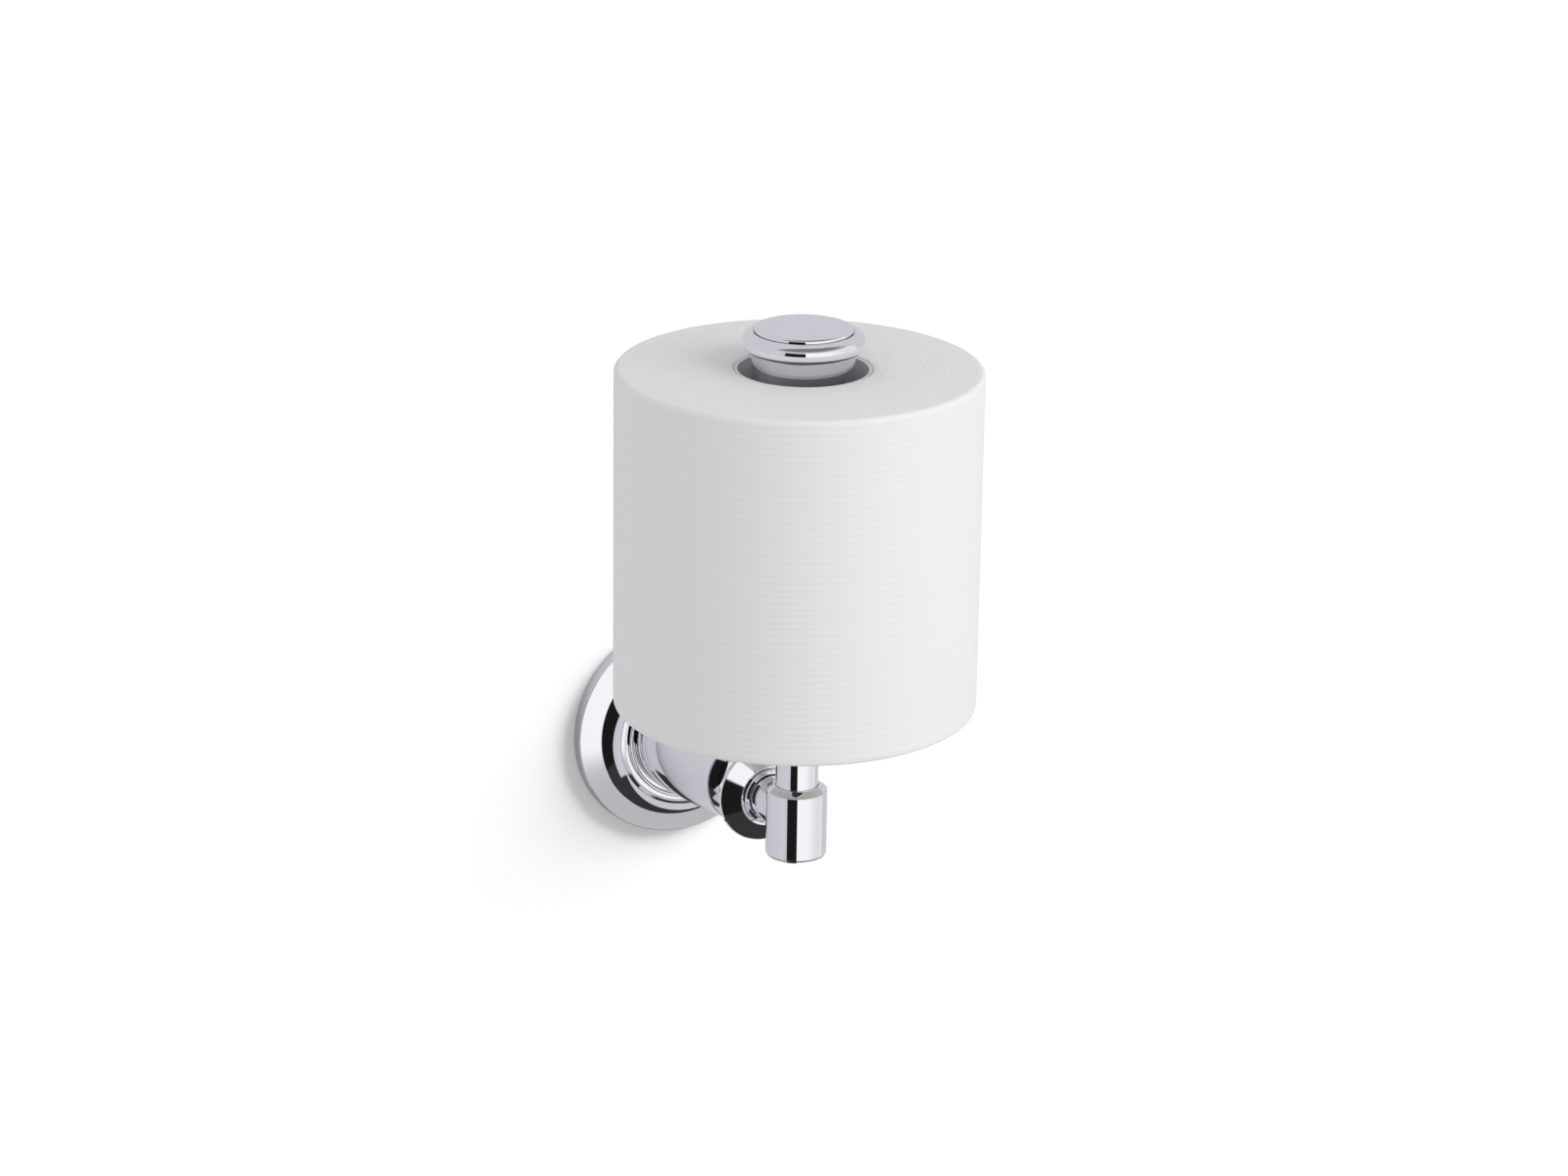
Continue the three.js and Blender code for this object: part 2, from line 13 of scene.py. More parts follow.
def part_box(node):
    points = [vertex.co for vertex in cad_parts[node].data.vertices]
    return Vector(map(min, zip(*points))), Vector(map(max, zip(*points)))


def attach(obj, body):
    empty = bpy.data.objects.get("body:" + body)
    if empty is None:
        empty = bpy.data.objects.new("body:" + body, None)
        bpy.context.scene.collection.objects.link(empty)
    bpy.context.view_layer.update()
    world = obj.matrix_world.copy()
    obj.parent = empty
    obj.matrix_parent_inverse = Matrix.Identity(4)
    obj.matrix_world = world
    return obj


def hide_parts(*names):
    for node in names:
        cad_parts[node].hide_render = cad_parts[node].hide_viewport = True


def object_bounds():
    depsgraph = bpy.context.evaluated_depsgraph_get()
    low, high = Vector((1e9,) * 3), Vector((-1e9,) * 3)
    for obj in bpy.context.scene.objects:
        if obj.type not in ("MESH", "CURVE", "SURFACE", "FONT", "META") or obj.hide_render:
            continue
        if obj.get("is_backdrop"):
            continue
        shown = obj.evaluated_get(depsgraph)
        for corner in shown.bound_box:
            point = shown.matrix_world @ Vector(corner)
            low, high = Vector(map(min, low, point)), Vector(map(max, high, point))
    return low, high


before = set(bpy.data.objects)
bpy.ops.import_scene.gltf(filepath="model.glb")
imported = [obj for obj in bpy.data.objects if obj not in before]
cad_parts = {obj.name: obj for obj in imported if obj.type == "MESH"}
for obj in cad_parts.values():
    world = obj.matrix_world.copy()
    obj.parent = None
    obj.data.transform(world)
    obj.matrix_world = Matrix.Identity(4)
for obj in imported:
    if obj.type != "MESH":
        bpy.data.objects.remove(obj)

LOG = logging.getLogger("paper_holder")
MM = 0.001
CREASE = math.radians(32.0)
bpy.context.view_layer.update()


class Wire:
    """An output socket that Python arithmetic can build on."""

    def __init__(self, sheet: "NodeSheet", socket: bpy.types.NodeSocket) -> None:
        """Wraps a socket.

        Args:
            sheet: The node sheet that the socket belongs to.
            socket: The output socket.
        """
        self.sheet = sheet
        self.socket = socket

    def __add__(self, other: "Value") -> "Wire":
        """Sum."""
        return self.sheet.math("ADD", self, other)

    def __sub__(self, other: "Value") -> "Wire":
        """Difference."""
        return self.sheet.math("SUBTRACT", self, other)

    def __rsub__(self, other: "Value") -> "Wire":
        """Reflected difference."""
        return self.sheet.math("SUBTRACT", other, self)

    def __mul__(self, other: "Value") -> "Wire":
        """Product."""
        return self.sheet.math("MULTIPLY", self, other)

    def __truediv__(self, other: "Value") -> "Wire":
        """Quotient."""
        return self.sheet.math("DIVIDE", self, other)

    __radd__ = __add__
    __rmul__ = __mul__


Value = Union[Wire, float, int, str, bool, Sequence[float], bpy.types.Material]


class NodeSheet:
    """A node tree, shader or geometry, with one method that makes any node."""

    def __init__(self, tree: bpy.types.NodeTree) -> None:
        """Takes over a tree.

        Args:
            tree: The tree that nodes are added to.
        """
        self.tree = tree

    def node(
        self,
        kind: str,
        settings: Optional[Mapping[str, Any]] = None,
        inputs: Optional[Mapping[Union[str, int], Value]] = None,
    ) -> bpy.types.Node:
        """Makes a node, applies its settings, then fills or links its sockets.

        Args:
            kind: Blender's name of the node type.
            settings: Properties set first; "stops" holds a ramp's (position, colour) pairs.
            inputs: Socket name or index to a value or a Wire.

        Returns:
            The new node.
        """
        made = self.tree.nodes.new(kind)
        for name, value in (settings or {}).items():
            if name == "stops":
                self._set_stops(made.color_ramp, value)
            else:
                setattr(made, name, value)
        for name, value in (inputs or {}).items():
            socket = made.inputs[name]
            if isinstance(value, Wire):
                self.tree.links.new(value.socket, socket)
            else:
                socket.default_value = value
        return made

    @staticmethod
    def _set_stops(
        ramp: bpy.types.ColorRamp, stops: Sequence[tuple[float, Sequence[float]]]
    ) -> None:
        """Fills a colour ramp.

        Args:
            ramp: The ramp.
            stops: Positions and colours, first to last.
        """
        while len(ramp.elements) > 1:
            ramp.elements.remove(ramp.elements[-1])
        ramp.elements[0].position, ramp.elements[0].color = stops[0]
        for position, colour in stops[1:]:
            ramp.elements.new(position).color = colour

    def wire(
        self,
        kind: str,
        output: Union[str, int] = 0,
        settings: Optional[Mapping[str, Any]] = None,
        inputs: Optional[Mapping[Union[str, int], Value]] = None,
    ) -> Wire:
        """Makes a node and returns one of its outputs.

        Args:
            kind: Blender's name of the node type.
            output: Output socket's name or index.
            settings: As for node.
            inputs: As for node.

        Returns:
            The output as a Wire.
        """
        return Wire(self, self.node(kind, settings, inputs).outputs[output])

    def math(self, operation: str, *values: Value, clamp: bool = False) -> Wire:
        """Adds a Math node.

        Args:
            operation: The node's operation.
            values: Up to three numbers or wires.
            clamp: Whether the result is held between 0 and 1.

        Returns:
            The result.
        """
        settings = {"operation": operation, "use_clamp": clamp}
        return self.wire("ShaderNodeMath", 0, settings, dict(enumerate(values)))

    def split(self, vector: Wire) -> tuple[Wire, Wire, Wire]:
        """Splits a vector.

        Args:
            vector: The vector.

        Returns:
            Its three components.
        """
        parts = self.node("ShaderNodeSeparateXYZ", inputs={0: vector})
        return tuple(Wire(self, out) for out in parts.outputs)

    def noise(self, at: Value, scale: float, detail: float = 2.0, rough: float = 0.5) -> Wire:
        """Three-dimensional noise between 0 and 1.

        Args:
            at: Position.
            scale: Cells to the metre.
            detail: Octaves.
            rough: Weight of the finer octaves.

        Returns:
            The noise value.
        """
        values = {"Vector": at, "Scale": scale, "Detail": detail, "Roughness": rough}
        return self.wire("ShaderNodeTexNoise", 0, None, values)

    def ease(self, value: Value, low: float, high: float) -> Wire:
        """A smooth step from 0 at low to 1 at high.

        Args:
            value: What is stepped.
            low: Where it starts.
            high: Where it ends.

        Returns:
            The eased value.
        """
        settings = {"interpolation_type": "SMOOTHSTEP", "clamp": True}
        values = {"Value": value, "From Min": low, "From Max": high}
        return self.wire("ShaderNodeMapRange", 0, settings, values)

    def stretched(self, at: Value, scale: Sequence[float]) -> Wire:
        """Scales a position axis by axis.

        Args:
            at: Position.
            scale: Factor for each axis.

        Returns:
            The scaled position.
        """
        return self.wire("ShaderNodeVectorMath", 0, {"operation": "MULTIPLY"}, {0: at, 1: scale})

    def bump(self, height: Wire, distance: float) -> Wire:
        """A normal bent by a relief.

        Args:
            height: The relief.
            distance: Its height in metres where it is 1.

        Returns:
            The normal.
        """
        return self.wire("ShaderNodeBump", 0, None, {"Distance": distance, "Height": height})

    def mix(self, factor: Value, first: Value, second: Value) -> Wire:
        """Mixes two colours.

        Args:
            factor: 0 gives the first, 1 the second.
            first: Colour.
            second: Colour.

        Returns:
            The mixed colour.
        """
        made = self.node("ShaderNodeMix", {"data_type": "RGBA"}, {0: factor, 6: first, 7: second})
        return Wire(self, made.outputs[2])


def cleared(owner: Union[bpy.types.Material, bpy.types.World]) -> NodeSheet:
    """Empties the node tree of a material or a world.

    Args:
        owner: The material or world.

    Returns:
        Its empty node sheet.
    """
    owner.use_nodes = True
    owner.node_tree.nodes.clear()
    return NodeSheet(owner.node_tree)


@dataclass(frozen=True)
class Finish:
    """A surface finish that becomes one material.

    Attributes:
        name: Material's name.
        slot: Material slot of the record; not used.
        colour: Base colour, linear.
        roughness: Middle of the roughness.
    """

    name: str
    slot: str
    colour: tuple[float, float, float]
    roughness: float

    def material(self) -> bpy.types.Material:
        """Builds the material on first use.

        Returns:
            The material.
        """
        found = bpy.data.materials.get(self.name)
        if found:
            return found
        made = bpy.data.materials.new(self.name)
        sheet = cleared(made)
        at = sheet.wire("ShaderNodeTexCoord", "Object")
        shader = sheet.node("ShaderNodeBsdfPrincipled", None, self.sockets(sheet, at))
        sheet.node("ShaderNodeOutputMaterial", None, {"Surface": Wire(sheet, shader.outputs[0])})
        return made

    def sockets(self, sheet: NodeSheet, at: Wire) -> dict[str, Value]:
        """Values and links of the shader.

        Args:
            sheet: The material's nodes.
            at: Object coordinates.

        Returns:
            Socket names to values or wires.
        """
        raise NotImplementedError

    def rgba(self, factor: float = 1.0) -> tuple[float, float, float, float]:
        """Base colour times a factor, with full alpha."""
        return (*[factor * channel for channel in self.colour], 1.0)


@dataclass(frozen=True)
class PolishedChrome(Finish):
    """Mirror chrome with faint haze and the slight waves of a polished casting.

    Attributes:
        haze: How much the roughness varies.
        wave: Height of the waves in metres.
    """

    haze: float = 0.03
    wave: float = 0.0000012

    def sockets(self, sheet: NodeSheet, at: Wire) -> dict[str, Value]:
        """Values and links of the shader (see Finish.sockets)."""
        smear = sheet.noise(at, 130.0, 4.0, 0.65)
        grain = sheet.noise(at, 5200.0, 2.0)
        rough = sheet.ease(smear, 0.45, 0.75) * self.haze + grain * 0.012 + (self.roughness - 0.012)
        waves = sheet.noise(at, 60.0, 1.0) * 4.0 + grain * 0.12
        worn = sheet.ease(smear, 0.3, 0.8) * 0.35
        return {
            "Base Color": sheet.mix(worn, self.rgba(), self.rgba(0.965)),
            "Metallic": 1.0,
            "Roughness": rough,
            "Normal": sheet.bump(waves, self.wave),
        }


@dataclass(frozen=True)
class MachinedMetal(Finish):
    """Plain machined or zinc-plated metal with fine tool marks and mottling.

    Attributes:
        stretch: Scale of the tool marks on each axis, in cells to the metre.
    """

    stretch: tuple[float, float, float] = (900.0, 9000.0, 900.0)

    def sockets(self, sheet: NodeSheet, at: Wire) -> dict[str, Value]:
        """Values and links of the shader (see Finish.sockets)."""
        marks = sheet.noise(sheet.stretched(at, self.stretch), 1.0, 3.0)
        mottle = sheet.noise(at, 420.0, 4.0, 0.6)
        return {
            "Base Color": sheet.mix(sheet.ease(mottle, 0.35, 0.7), self.rgba(), self.rgba(0.72)),
            "Metallic": 1.0,
            "Roughness": marks * 0.16 + mottle * 0.1 + (self.roughness - 0.13),
            "Normal": sheet.bump(marks, 0.00002),
        }


@dataclass(frozen=True)
class MouldedPlastic(Finish):
    """Satin moulded plastic with a fine spark-eroded skin."""

    def sockets(self, sheet: NodeSheet, at: Wire) -> dict[str, Value]:
        """Values and links of the shader (see Finish.sockets)."""
        skin = sheet.noise(at, 3800.0, 3.0)
        cloud = sheet.noise(at, 160.0, 3.0)
        warm = (self.colour[0], 0.975 * self.colour[1], 0.94 * self.colour[2], 1.0)
        return {
            "Base Color": sheet.mix(cloud, self.rgba(), warm),
            "Roughness": skin * 0.16 + (self.roughness - 0.08),
            "Subsurface Weight": 0.08,
            "Subsurface Radius": (0.002, 0.002, 0.002),
            "Normal": sheet.bump(skin, 0.000012),
        }


@dataclass(frozen=True)
class WoundBoard(Finish):
    """Grey board wound in a spiral, with fibres and a seam line.

    Attributes:
        centre: Axis of the tube, x and y.
        lead: Rise of the seam in one turn, in metres.
    """

    centre: tuple[float, float] = (0.0, 0.0)
    lead: float = 0.062

    def sockets(self, sheet: NodeSheet, at: Wire) -> dict[str, Value]:
        """Values and links of the shader (see Finish.sockets)."""
        x, y, z = sheet.split(at)
        turn = sheet.math("ARCTAN2", y - self.centre[1], x - self.centre[0]) / math.tau
        climb = sheet.math("FRACT", z / self.lead - turn + 8.0)
        seam = sheet.ease(sheet.math("ABSOLUTE", climb - 0.5), 0.006, 0.016)
        fibre = sheet.noise(sheet.stretched(at, (1.0, 1.0, 0.22)), 2600.0, 5.0, 0.7)
        fleck = sheet.ease(sheet.noise(at, 1500.0, 4.0, 0.8), 0.58, 0.72)
        shade = sheet.math("ADD", (1.0 - seam) * 0.55, fleck * 0.3, clamp=True)
        relief = seam * 0.8 + fibre * 0.5
        return {
            "Base Color": sheet.mix(shade, self.rgba(), self.rgba(0.62)),
            "Roughness": fibre * 0.1 + (self.roughness - 0.05),
            "Normal": sheet.bump(relief, 0.00006),
        }


@dataclass(frozen=True)
class SoftTissue(Finish):
    """Soft white tissue: fine crepe and loose fibres over the embossed ribs."""

    def sockets(self, sheet: NodeSheet, at: Wire) -> dict[str, Value]:
        """Values and links of the shader (see Finish.sockets)."""
        crepe = sheet.noise(sheet.stretched(at, (1.0, 1.0, 2.4)), 1100.0, 4.0, 0.62)
        fibre = sheet.noise(at, 5200.0, 3.0, 0.7)
        cloud = sheet.noise(at, 85.0, 3.0)
        mask = sheet.math("ADD", crepe * 0.55, cloud * 0.35, clamp=True)
        relief = crepe + fibre * 0.35
        return {
            "Base Color": sheet.mix(mask, self.rgba(), self.rgba(0.955)),
            "Roughness": fibre * 0.08 + (self.roughness - 0.04),
            "Specular IOR Level": 0.15,
            "Sheen Weight": 0.12,
            "Sheen Roughness": 0.6,
            "Normal": sheet.bump(relief, 0.00003),
        }


class Axis(Enum):
    """Which way a turned piece's axis runs."""

    ARM = "out of the wall"
    POST = "up the post"


@dataclass(frozen=True)
class Corner:
    """A point of a turned outline, in millimetres.

    Attributes:
        r: Radius.
        h: Height along the axis.
        rounding: Radius of the corner's rounding.
        curve: Whether it lies on a curve, so that shading runs through it.
    """

    r: float
    h: float
    rounding: float = 0.0
    curve: bool = False


@dataclass(frozen=True)
class Span:
    """Where a CAD node lies along one axis, in millimetres.

    Attributes:
        foot: Lowest station.
        top: Highest station.
        radius: Half of its width across the axis.
    """

    foot: float
    top: float
    radius: float

    @classmethod
    def of(cls, node: str, axis: Axis) -> "Span":
        """Reads a node's span from the frame.

        Args:
            node: CAD node.
            axis: Axis that it is turned about.

        Returns:
            Its span.
        """
        low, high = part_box(node)
        radius = (high.x - low.x) / 2
        if axis is Axis.ARM:
            return cls(-high.y / MM, -low.y / MM, radius / MM)
        return cls(low.z / MM, high.z / MM, radius / MM)


def traced(place: Callable[[float], Sequence[float]], steps: int, closed: bool = True) -> list[Corner]:
    """Points along a curve.

    Args:
        place: Gives radius and height at a share of the way.
        steps: Number of pieces.
        closed: Whether the last point belongs to it.

    Returns:
        The points.
    """
    return [Corner(*place(step / steps), curve=True) for step in range(steps + int(closed))]


def swell(start: Corner, end: Corner, sag: float, steps: int = 24) -> list[Corner]:
    """A run that swells sideways from a straight line.

    Args:
        start: First point.
        end: Last point.
        sag: How far its middle stands off the line, to the right of travel.
        steps: Number of pieces.

    Returns:
        Points of the run.
    """
    first = Vector((start.r, start.h))
    run = Vector((end.r, end.h)) - first
    side = Vector((run.y, -run.x)).normalized()
    return traced(lambda t: first + run * t + side * (4 * sag * t * (1 - t)), steps)


def quarter(start: Corner, end: Corner, steps: int = 16) -> list[Corner]:
    """A quarter of an ellipse that leaves its first point along the axis.

    Args:
        start: First point.
        end: Last point.
        steps: Number of pieces.

    Returns:
        Points of the quarter.
    """
    def at(t: float) -> tuple[float, float]:
        """Radius and height at a share of the quarter."""
        angle = math.pi / 2 * t
        return (
            start.r + (end.r - start.r) * (1 - math.cos(angle)),
            start.h + (end.h - start.h) * math.sin(angle),
        )

    return traced(at, steps)


@dataclass
class Turning:
    """A turned solid: an outline swept about its axis.

    Attributes:
        corners: Outline, counter-clockwise; a ring if it starts off the axis.
        axis: Axis that it turns about.
        segments: Facets round the axis.
        hold: Distance from a corner at which flat faces start, in millimetres.
        arc_steps: Pieces in a rounded corner.
    """

    corners: Sequence[Corner]
    axis: Axis
    segments: int = 144
    hold: float = 0.05
    arc_steps: int = 7

    def _rounded(self, index: int) -> list[Corner]:
        """Points of one corner.

        Args:
            index: Which corner.

        Returns:
            The corner itself, or the arc that rounds it.
        """
        corner = self.corners[index]
        if not corner.rounding:
            return [corner]
        at = Vector((corner.r, corner.h))
        before = self.corners[index - 1]
        after = self.corners[(index + 1) % len(self.corners)]
        back = Vector((before.r, before.h)) - at
        ahead = Vector((after.r, after.h)) - at
        half = back.angle(ahead) / 2
        room = 0.49 * min(back.length, ahead.length)
        reach = min(corner.rounding / math.tan(half), room)
        back.normalize()
        ahead.normalize()
        centre = at + (back + ahead).normalized() * (reach / math.cos(half))
        first = at + back * reach - centre
        last = at + ahead * reach - centre
        sweep = first.angle_signed(last)
        points = []
        for step in range(self.arc_steps + 1):
            spoke = first.copy()
            spoke.rotate(Matrix.Rotation(-sweep * step / self.arc_steps, 2))
            spoke += centre
            points.append(Corner(spoke.x, spoke.y, curve=True))
        return points

    def outline(self) -> list[tuple[float, float]]:
        """The whole outline with roundings and holding points.

        Returns:
            Radius and height of each point.
        """
        groups = [self._rounded(i) for i in range(len(self.corners))]
        ring = self.corners[0].r > 0
        points: list[tuple[float, float]] = []
        flat = [(corner, g) for g, group in enumerate(groups) for corner in group]
        for i, (corner, group) in enumerate(flat):
            points.append((corner.r, corner.h))
            if i + 1 == len(flat) and not ring:
                break
            following, next_group = flat[(i + 1) % len(flat)]
            same_arc = group == next_group
            both_curve = corner.curve and following.curve and not self._is_arc(group, next_group)
            if same_arc or both_curve:
                continue
            points.extend(self._held(corner, following))
        return points

    def _is_arc(self, group: int, next_group: int) -> bool:
        """Whether either corner was rounded, so that a flat face lies between them."""
        return bool(self.corners[group].rounding or self.corners[next_group].rounding)

    def _held(self, start: Corner, end: Corner) -> list[tuple[float, float]]:
        """Holding points near both ends of a flat face.

        Args:
            start: The face's first corner.
            end: Its last corner.

        Returns:
            Two points, or none on a face too short to hold.
        """
        first = Vector((start.r, start.h))
        run = Vector((end.r, end.h)) - first
        if run.length < 4 * self.hold:
            return []
        step = run.normalized() * self.hold
        near, far = first + step, first + run - step
        return [(near.x, near.y), (far.x, far.y)]

    def mesh(self, name: str, centre: Vector) -> bpy.types.Mesh:
        """Sweeps the outline.

        Args:
            name: Mesh's name.
            centre: A point on the axis at height zero, in metres.

        Returns:
            A closed mesh with its faces outwards.
        """
        outline = self.outline()
        ring = self.corners[0].r > 0
        made = bmesh.new()
        rows = []
        for r, h in outline:
            count = self.segments if r > 1e-6 else 1
            rows.append([made.verts.new(self._place(r, h, k, centre)) for k in range(count)])
        pairs = list(zip(rows, rows[1:] + rows[:1])) if ring else list(zip(rows, rows[1:]))
        for low, high in pairs:
            self._band(made, low, high)
        bmesh.ops.recalc_face_normals(made, faces=made.faces)
        return finished_mesh(made, name)

    def _place(self, r: float, h: float, index: int, centre: Vector) -> Vector:
        """A point of the sweep.

        Args:
            r: Radius in millimetres.
            h: Height in millimetres.
            index: Which segment.
            centre: Point on the axis, in metres.

        Returns:
            The point in metres.
        """
        angle = math.tau * index / self.segments
        across, up = r * math.cos(angle) * MM, r * math.sin(angle) * MM
        if self.axis is Axis.ARM:
            return centre + Vector((across, -h * MM, up))
        return centre + Vector((across, up, h * MM))

    def _band(self, made: bmesh.types.BMesh, low: list, high: list) -> None:
        """Faces between two rows of points.

        Args:
            made: The mesh.
            low: First row, or the one point of a pole.
            high: Second row, or the one point of a pole.
        """
        for k in range(self.segments):
            j = (k + 1) % self.segments
            if len(low) == 1:
                made.faces.new((low[0], high[k], high[j]))
            elif len(high) == 1:
                made.faces.new((low[k], low[j], high[0]))
            else:
                made.faces.new((low[k], low[j], high[j], high[k]))


def finished_mesh(made: bmesh.types.BMesh, name: str) -> bpy.types.Mesh:
    """Turns a bmesh into a smooth mesh whose sharp edges stay sharp.

    Args:
        made: The bmesh, which is freed.
        name: Mesh's name.

    Returns:
        The mesh.
    """
    mesh = bpy.data.meshes.new(name)
    made.to_mesh(mesh)
    made.free()
    mesh.shade_smooth()
    mesh.set_sharp_from_angle(angle=CREASE)
    return mesh


def prism(start: Vector, end: Vector, radius: float, sides: int = 48) -> bpy.types.Object:
    """A bar between two points, used as a cutter.

    Args:
        start: Centre of one end, in metres.
        end: Centre of the other end.
        radius: Radius in millimetres.
        sides: Number of sides.

    Returns:
        A loose object.
    """
    made = bmesh.new()
    run = end - start
    turn = run.to_track_quat("Z", "Y").to_matrix().to_4x4()
    place = Matrix.Translation((start + end) / 2) @ turn
    size = {"radius1": radius * MM, "radius2": radius * MM, "depth": run.length}
    bmesh.ops.create_cone(made, cap_ends=True, segments=sides, matrix=place, **size)
    return loose_object("cutter", finished_mesh(made, "cutter"))


def loose_object(name: str, mesh: bpy.types.Mesh) -> bpy.types.Object:
    """Links a new object at the origin.

    Args:
        name: Object's name.
        mesh: Its mesh.

    Returns:
        The object.
    """
    made = bpy.data.objects.new(name, mesh)
    bpy.context.scene.collection.objects.link(made)
    return made


def settled(piece: bpy.types.Object) -> bpy.types.Object:
    """Makes what a piece's modifiers give its plain mesh and drops the modifiers.

    Args:
        piece: The piece.

    Returns:
        The same piece.
    """
    bpy.context.view_layer.update()
    evaluated = piece.evaluated_get(bpy.context.evaluated_depsgraph_get())
    mesh = bpy.data.meshes.new_from_object(evaluated)
    piece.modifiers.clear()
    old = piece.data
    piece.data = mesh
    mesh.name = piece.name
    bpy.data.meshes.remove(old)
    return piece


def carve(piece: bpy.types.Object, cutters: Iterable[bpy.types.Object]) -> bpy.types.Object:
    """Cuts shapes out of a piece.

    Args:
        piece: What is cut.
        cutters: Loose objects, removed afterwards.

    Returns:
        The piece.
    """
    tools = list(cutters)
    for tool in tools:
        cut = piece.modifiers.new("cut", "BOOLEAN")
        cut.operation, cut.solver, cut.object = "DIFFERENCE", "EXACT", tool
    settled(piece)
    for tool in tools:
        bpy.data.objects.remove(tool)
    piece.data.shade_smooth()
    piece.data.set_sharp_from_angle(angle=CREASE)
    return piece


class GeometryTree(NodeSheet):
    """A Geometry Nodes tree with named inputs, applied as a modifier."""

    def __init__(self, name: str) -> None:
        """Makes an empty tree with a geometry input and output.

        Args:
            name: Tree's name.
        """
        super().__init__(bpy.data.node_groups.new(name, "GeometryNodeTree"))
        self.tree.interface.new_socket("Geometry", in_out="OUTPUT", socket_type="NodeSocketGeometry")
        self.tree.interface.new_socket("Geometry", in_out="INPUT", socket_type="NodeSocketGeometry")
        self.entry = self.tree.nodes.new("NodeGroupInput")

    def size(self, name: str, kind: str = "NodeSocketFloat") -> Wire:
        """Adds a named input.

        Args:
            name: Input's name.
            kind: Socket type.

        Returns:
            The input as a Wire.
        """
        self.tree.interface.new_socket(name, in_out="INPUT", socket_type=kind)
        return Wire(self, self.entry.outputs[name])

    def close(self, geometry: Wire, finish: Wire) -> None:
        """Realizes instances, sets the material and ends the tree.

        Args:
            geometry: What the tree makes.
            finish: Material input.
        """
        real = self.wire("GeometryNodeRealizeInstances", 0, None, {0: geometry})
        dressed = self.wire("GeometryNodeSetMaterial", 0, None, {"Geometry": real, "Material": finish})
        self.node("NodeGroupOutput", None, {0: dressed})

    def apply(self, piece: bpy.types.Object, sizes: Mapping[str, Value]) -> bpy.types.Object:
        """Runs the tree on a piece and keeps the result as its plain mesh.

        Args:
            piece: The piece.
            sizes: Input names to values.

        Returns:
            The piece.
        """
        modifier = piece.modifiers.new(self.tree.name, "NODES")
        modifier.node_group = self.tree
        for item in self.tree.interface.items_tree:
            if item.in_out == "INPUT" and item.name in sizes:
                modifier[item.identifier] = sizes[item.name]
        return settled(piece)


class ThreadTree(GeometryTree):
    """Winds a screw thread round a shank and joins it to the screw."""

    def __init__(self) -> None:
        """Builds the tree."""
        super().__init__("screw_thread")
        start, end = self.size("Start Radius"), self.size("End Radius")
        length, turns, depth = self.size("Length"), self.size("Turns"), self.size("Depth")
        place = self.size("Foot", "NodeSocketVector")
        tilt = self.size("Tilt", "NodeSocketRotation")
        finish = self.size("Finish", "NodeSocketMaterial")
        shape = {
            "Resolution": 28,
            "Rotations": turns,
            "Start Radius": start,
            "End Radius": end,
            "Height": length,
        }
        helix = self.wire("GeometryNodeCurveSpiral", 0, None, shape)
        along = self.wire("GeometryNodeSplineParameter", "Factor")
        fade = self.math("MINIMUM", self.math("MINIMUM", along, 1.0 - along) * 14.0, 1.0)
        helix = self.wire("GeometryNodeSetCurveRadius", 0, None, {"Curve": helix, "Radius": fade})
        ridge = self.wire("GeometryNodeCurvePrimitiveCircle", 0, None, {"Resolution": 4, "Radius": depth})
        coil = self.wire(
            "GeometryNodeCurveToMesh", 0, None,
            {"Curve": helix, "Profile Curve": ridge, "Fill Caps": True, "Scale": fade},
        )
        moved = self.wire(
            "GeometryNodeTransform", 0, None, {"Geometry": coil, "Translation": place, "Rotation": tilt}
        )
        both = self.node("GeometryNodeJoinGeometry")
        self.tree.links.new(moved.socket, both.inputs[0])
        self.tree.links.new(self.entry.outputs["Geometry"], both.inputs[0])
        self.close(Wire(self, both.outputs[0]), finish)


